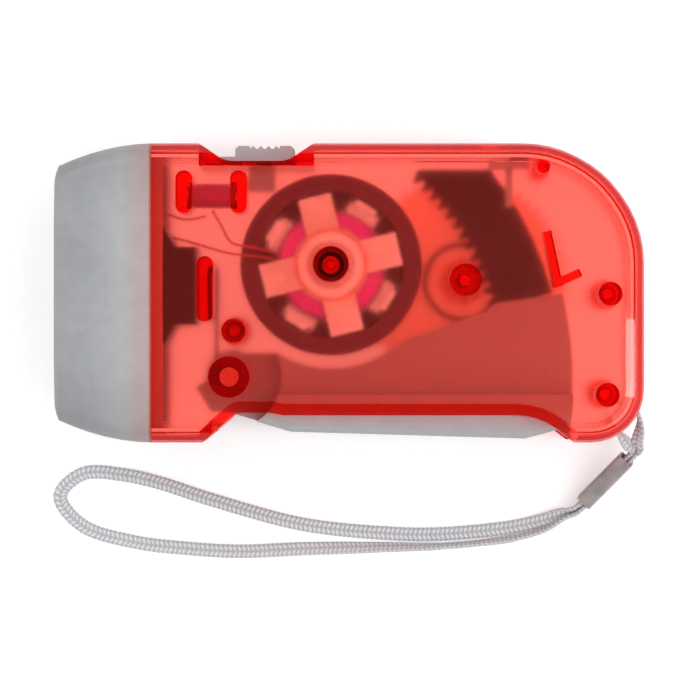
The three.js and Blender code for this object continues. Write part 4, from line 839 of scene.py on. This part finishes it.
def wire_ring(point, across, aside):
    ring = []
    for i in range(SPRING_SIDES):
        angle = 2 * math.pi * i / SPRING_SIDES
        ring.append(
            Vector(point) + across * (SPRING_WIRE * math.cos(angle))
            + aside * (SPRING_WIRE * math.sin(angle))
        )
    return ring


def make_spring(material):
    line = spring_line()
    rings = []
    across = Vector((0, 0, 1))
    for point, tangent in zip(line, directions(line)):
        along = Vector(tangent)
        across = (across - along * across.dot(along)).normalized()
        rings.append(wire_ring(point, across, along.cross(across)))
    spring = tube_object("spring_wire", rings)
    spring.data.materials.append(material)
    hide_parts("return_spring")
    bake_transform(spring)


# Floor, light and camera


def floor_material():
    """A pale matt floor that glows for the camera and for what is seen through clear plastic."""
    material = new_material("pale_floor")
    matte = node(material, "BsdfPrincipled", Roughness=FLOOR_ROUGHNESS)
    matte.inputs["Base Color"].default_value = (*grey(FLOOR_GREY), 1)
    matte.inputs["Specular IOR Level"].default_value = 0.0
    glow = node(material, "Emission")
    rays = node(material, "LightPath")
    seen = times(material, rays.outputs["Is Camera Ray"], FLOOR_GLOW)
    passed = times(material, rays.outputs["Is Transmission Ray"], FLOOR_BEHIND)
    link(material, added(material, seen, passed), glow.inputs["Strength"])
    both = node(material, "AddShader")
    link(material, matte.outputs["BSDF"], both.inputs[0])
    link(material, glow.outputs["Emission"], both.inputs[1])
    show(material, both.outputs["Shader"])
    return material


def make_floor():
    half = FLOOR_HALF
    mesh = bpy.data.meshes.new("floor")
    corners = [(-half, -half, 0), (half, -half, 0), (half, half, 0), (-half, half, 0)]
    mesh.from_pydata(corners, [], [(0, 1, 2, 3)])
    floor = bpy.data.objects.new("floor", mesh)
    bpy.context.scene.collection.objects.link(floor)
    mesh.materials.append(floor_material())


def room_gloss(world):
    """What a mirror sees at each height of the room: white walls and a dark ceiling."""
    place = node(world, "TexCoord")
    parts = node(world, "SeparateXYZ")
    link(world, place.outputs["Generated"], parts.inputs["Vector"])
    room = node(world, "MapRange")
    room.inputs["From Min"].default_value = WALL_RISE
    room.inputs["From Max"].default_value = CEILING_RISE
    room.inputs["To Min"].default_value = WALL_STRENGTH
    room.inputs["To Max"].default_value = CEILING_STRENGTH
    link(world, parts.outputs["Z"], room.inputs["Value"])
    return room.outputs["Result"]


def make_world():
    """An even white room. Gloss meets white walls and a dark ceiling, as above a camera stand."""
    world = bpy.data.worlds.new("studio")
    world.use_nodes = True
    world.node_tree.nodes.clear()
    rays = node(world, "LightPath")
    through = rays.outputs["Is Transmission Ray"]
    outside = added(world, times(world, through, -1), 1)
    mirrored = times(world, rays.outputs["Is Glossy Ray"], outside)
    gloss = times(world, mirrored, added(world, room_gloss(world), -WORLD_STRENGTH))
    seen = times(world, added(world, rays.outputs["Is Camera Ray"], through), 1 - WORLD_STRENGTH)
    back = node(world, "Background", Color=(1, 1, 1, 1))
    link(world, added(world, gloss, seen, WORLD_STRENGTH), back.inputs["Strength"])
    output = node(world, "OutputWorld")
    link(world, back.outputs["Background"], output.inputs["Surface"])
    bpy.context.scene.world = world


def make_lamp(name, place, size, watts):
    """A rectangular lamp that faces the origin."""
    data = bpy.data.lights.new(name, "AREA")
    data.shape = "RECTANGLE"
    data.size, data.size_y = size[0] * MM, size[1] * MM
    data.energy = watts
    lamp = bpy.data.objects.new(name, data)
    lamp.location = Vector(place) * MM
    lamp.rotation_mode = "QUATERNION"
    lamp.rotation_quaternion = lamp.location.to_track_quat("Z", "Y")
    bpy.context.scene.collection.objects.link(lamp)


def make_camera():
    """A camera that looks straight down."""
    data = bpy.data.cameras.new("camera")
    data.sensor_width = SENSOR
    width = PICTURE_PIXELS / PIXELS_PER_MM * MM
    data.lens = SENSOR * (CAMERA_HEIGHT - SCALE_HEIGHT) / width
    data.clip_start, data.clip_end = CLIP_START, CLIP_END
    camera = bpy.data.objects.new("camera", data)
    camera.location = (CAMERA_X, CAMERA_Y, CAMERA_HEIGHT)
    bpy.context.scene.collection.objects.link(camera)
    bpy.context.scene.camera = camera


def make_studio():
    scene = bpy.context.scene
    scene.view_settings.view_transform = "Standard"
    for kind in ("max", "transmission", "glossy", "transparent_max"):
        setattr(scene.cycles, kind + "_bounces", BOUNCES)
    make_camera()
    make_world()
    make_floor()
    for lamp in LAMPS:
        make_lamp(*lamp)


make_studio()
materials = slot_materials()
dress_nodes(materials)
make_strap()
make_spring(materials["dark_wire"])
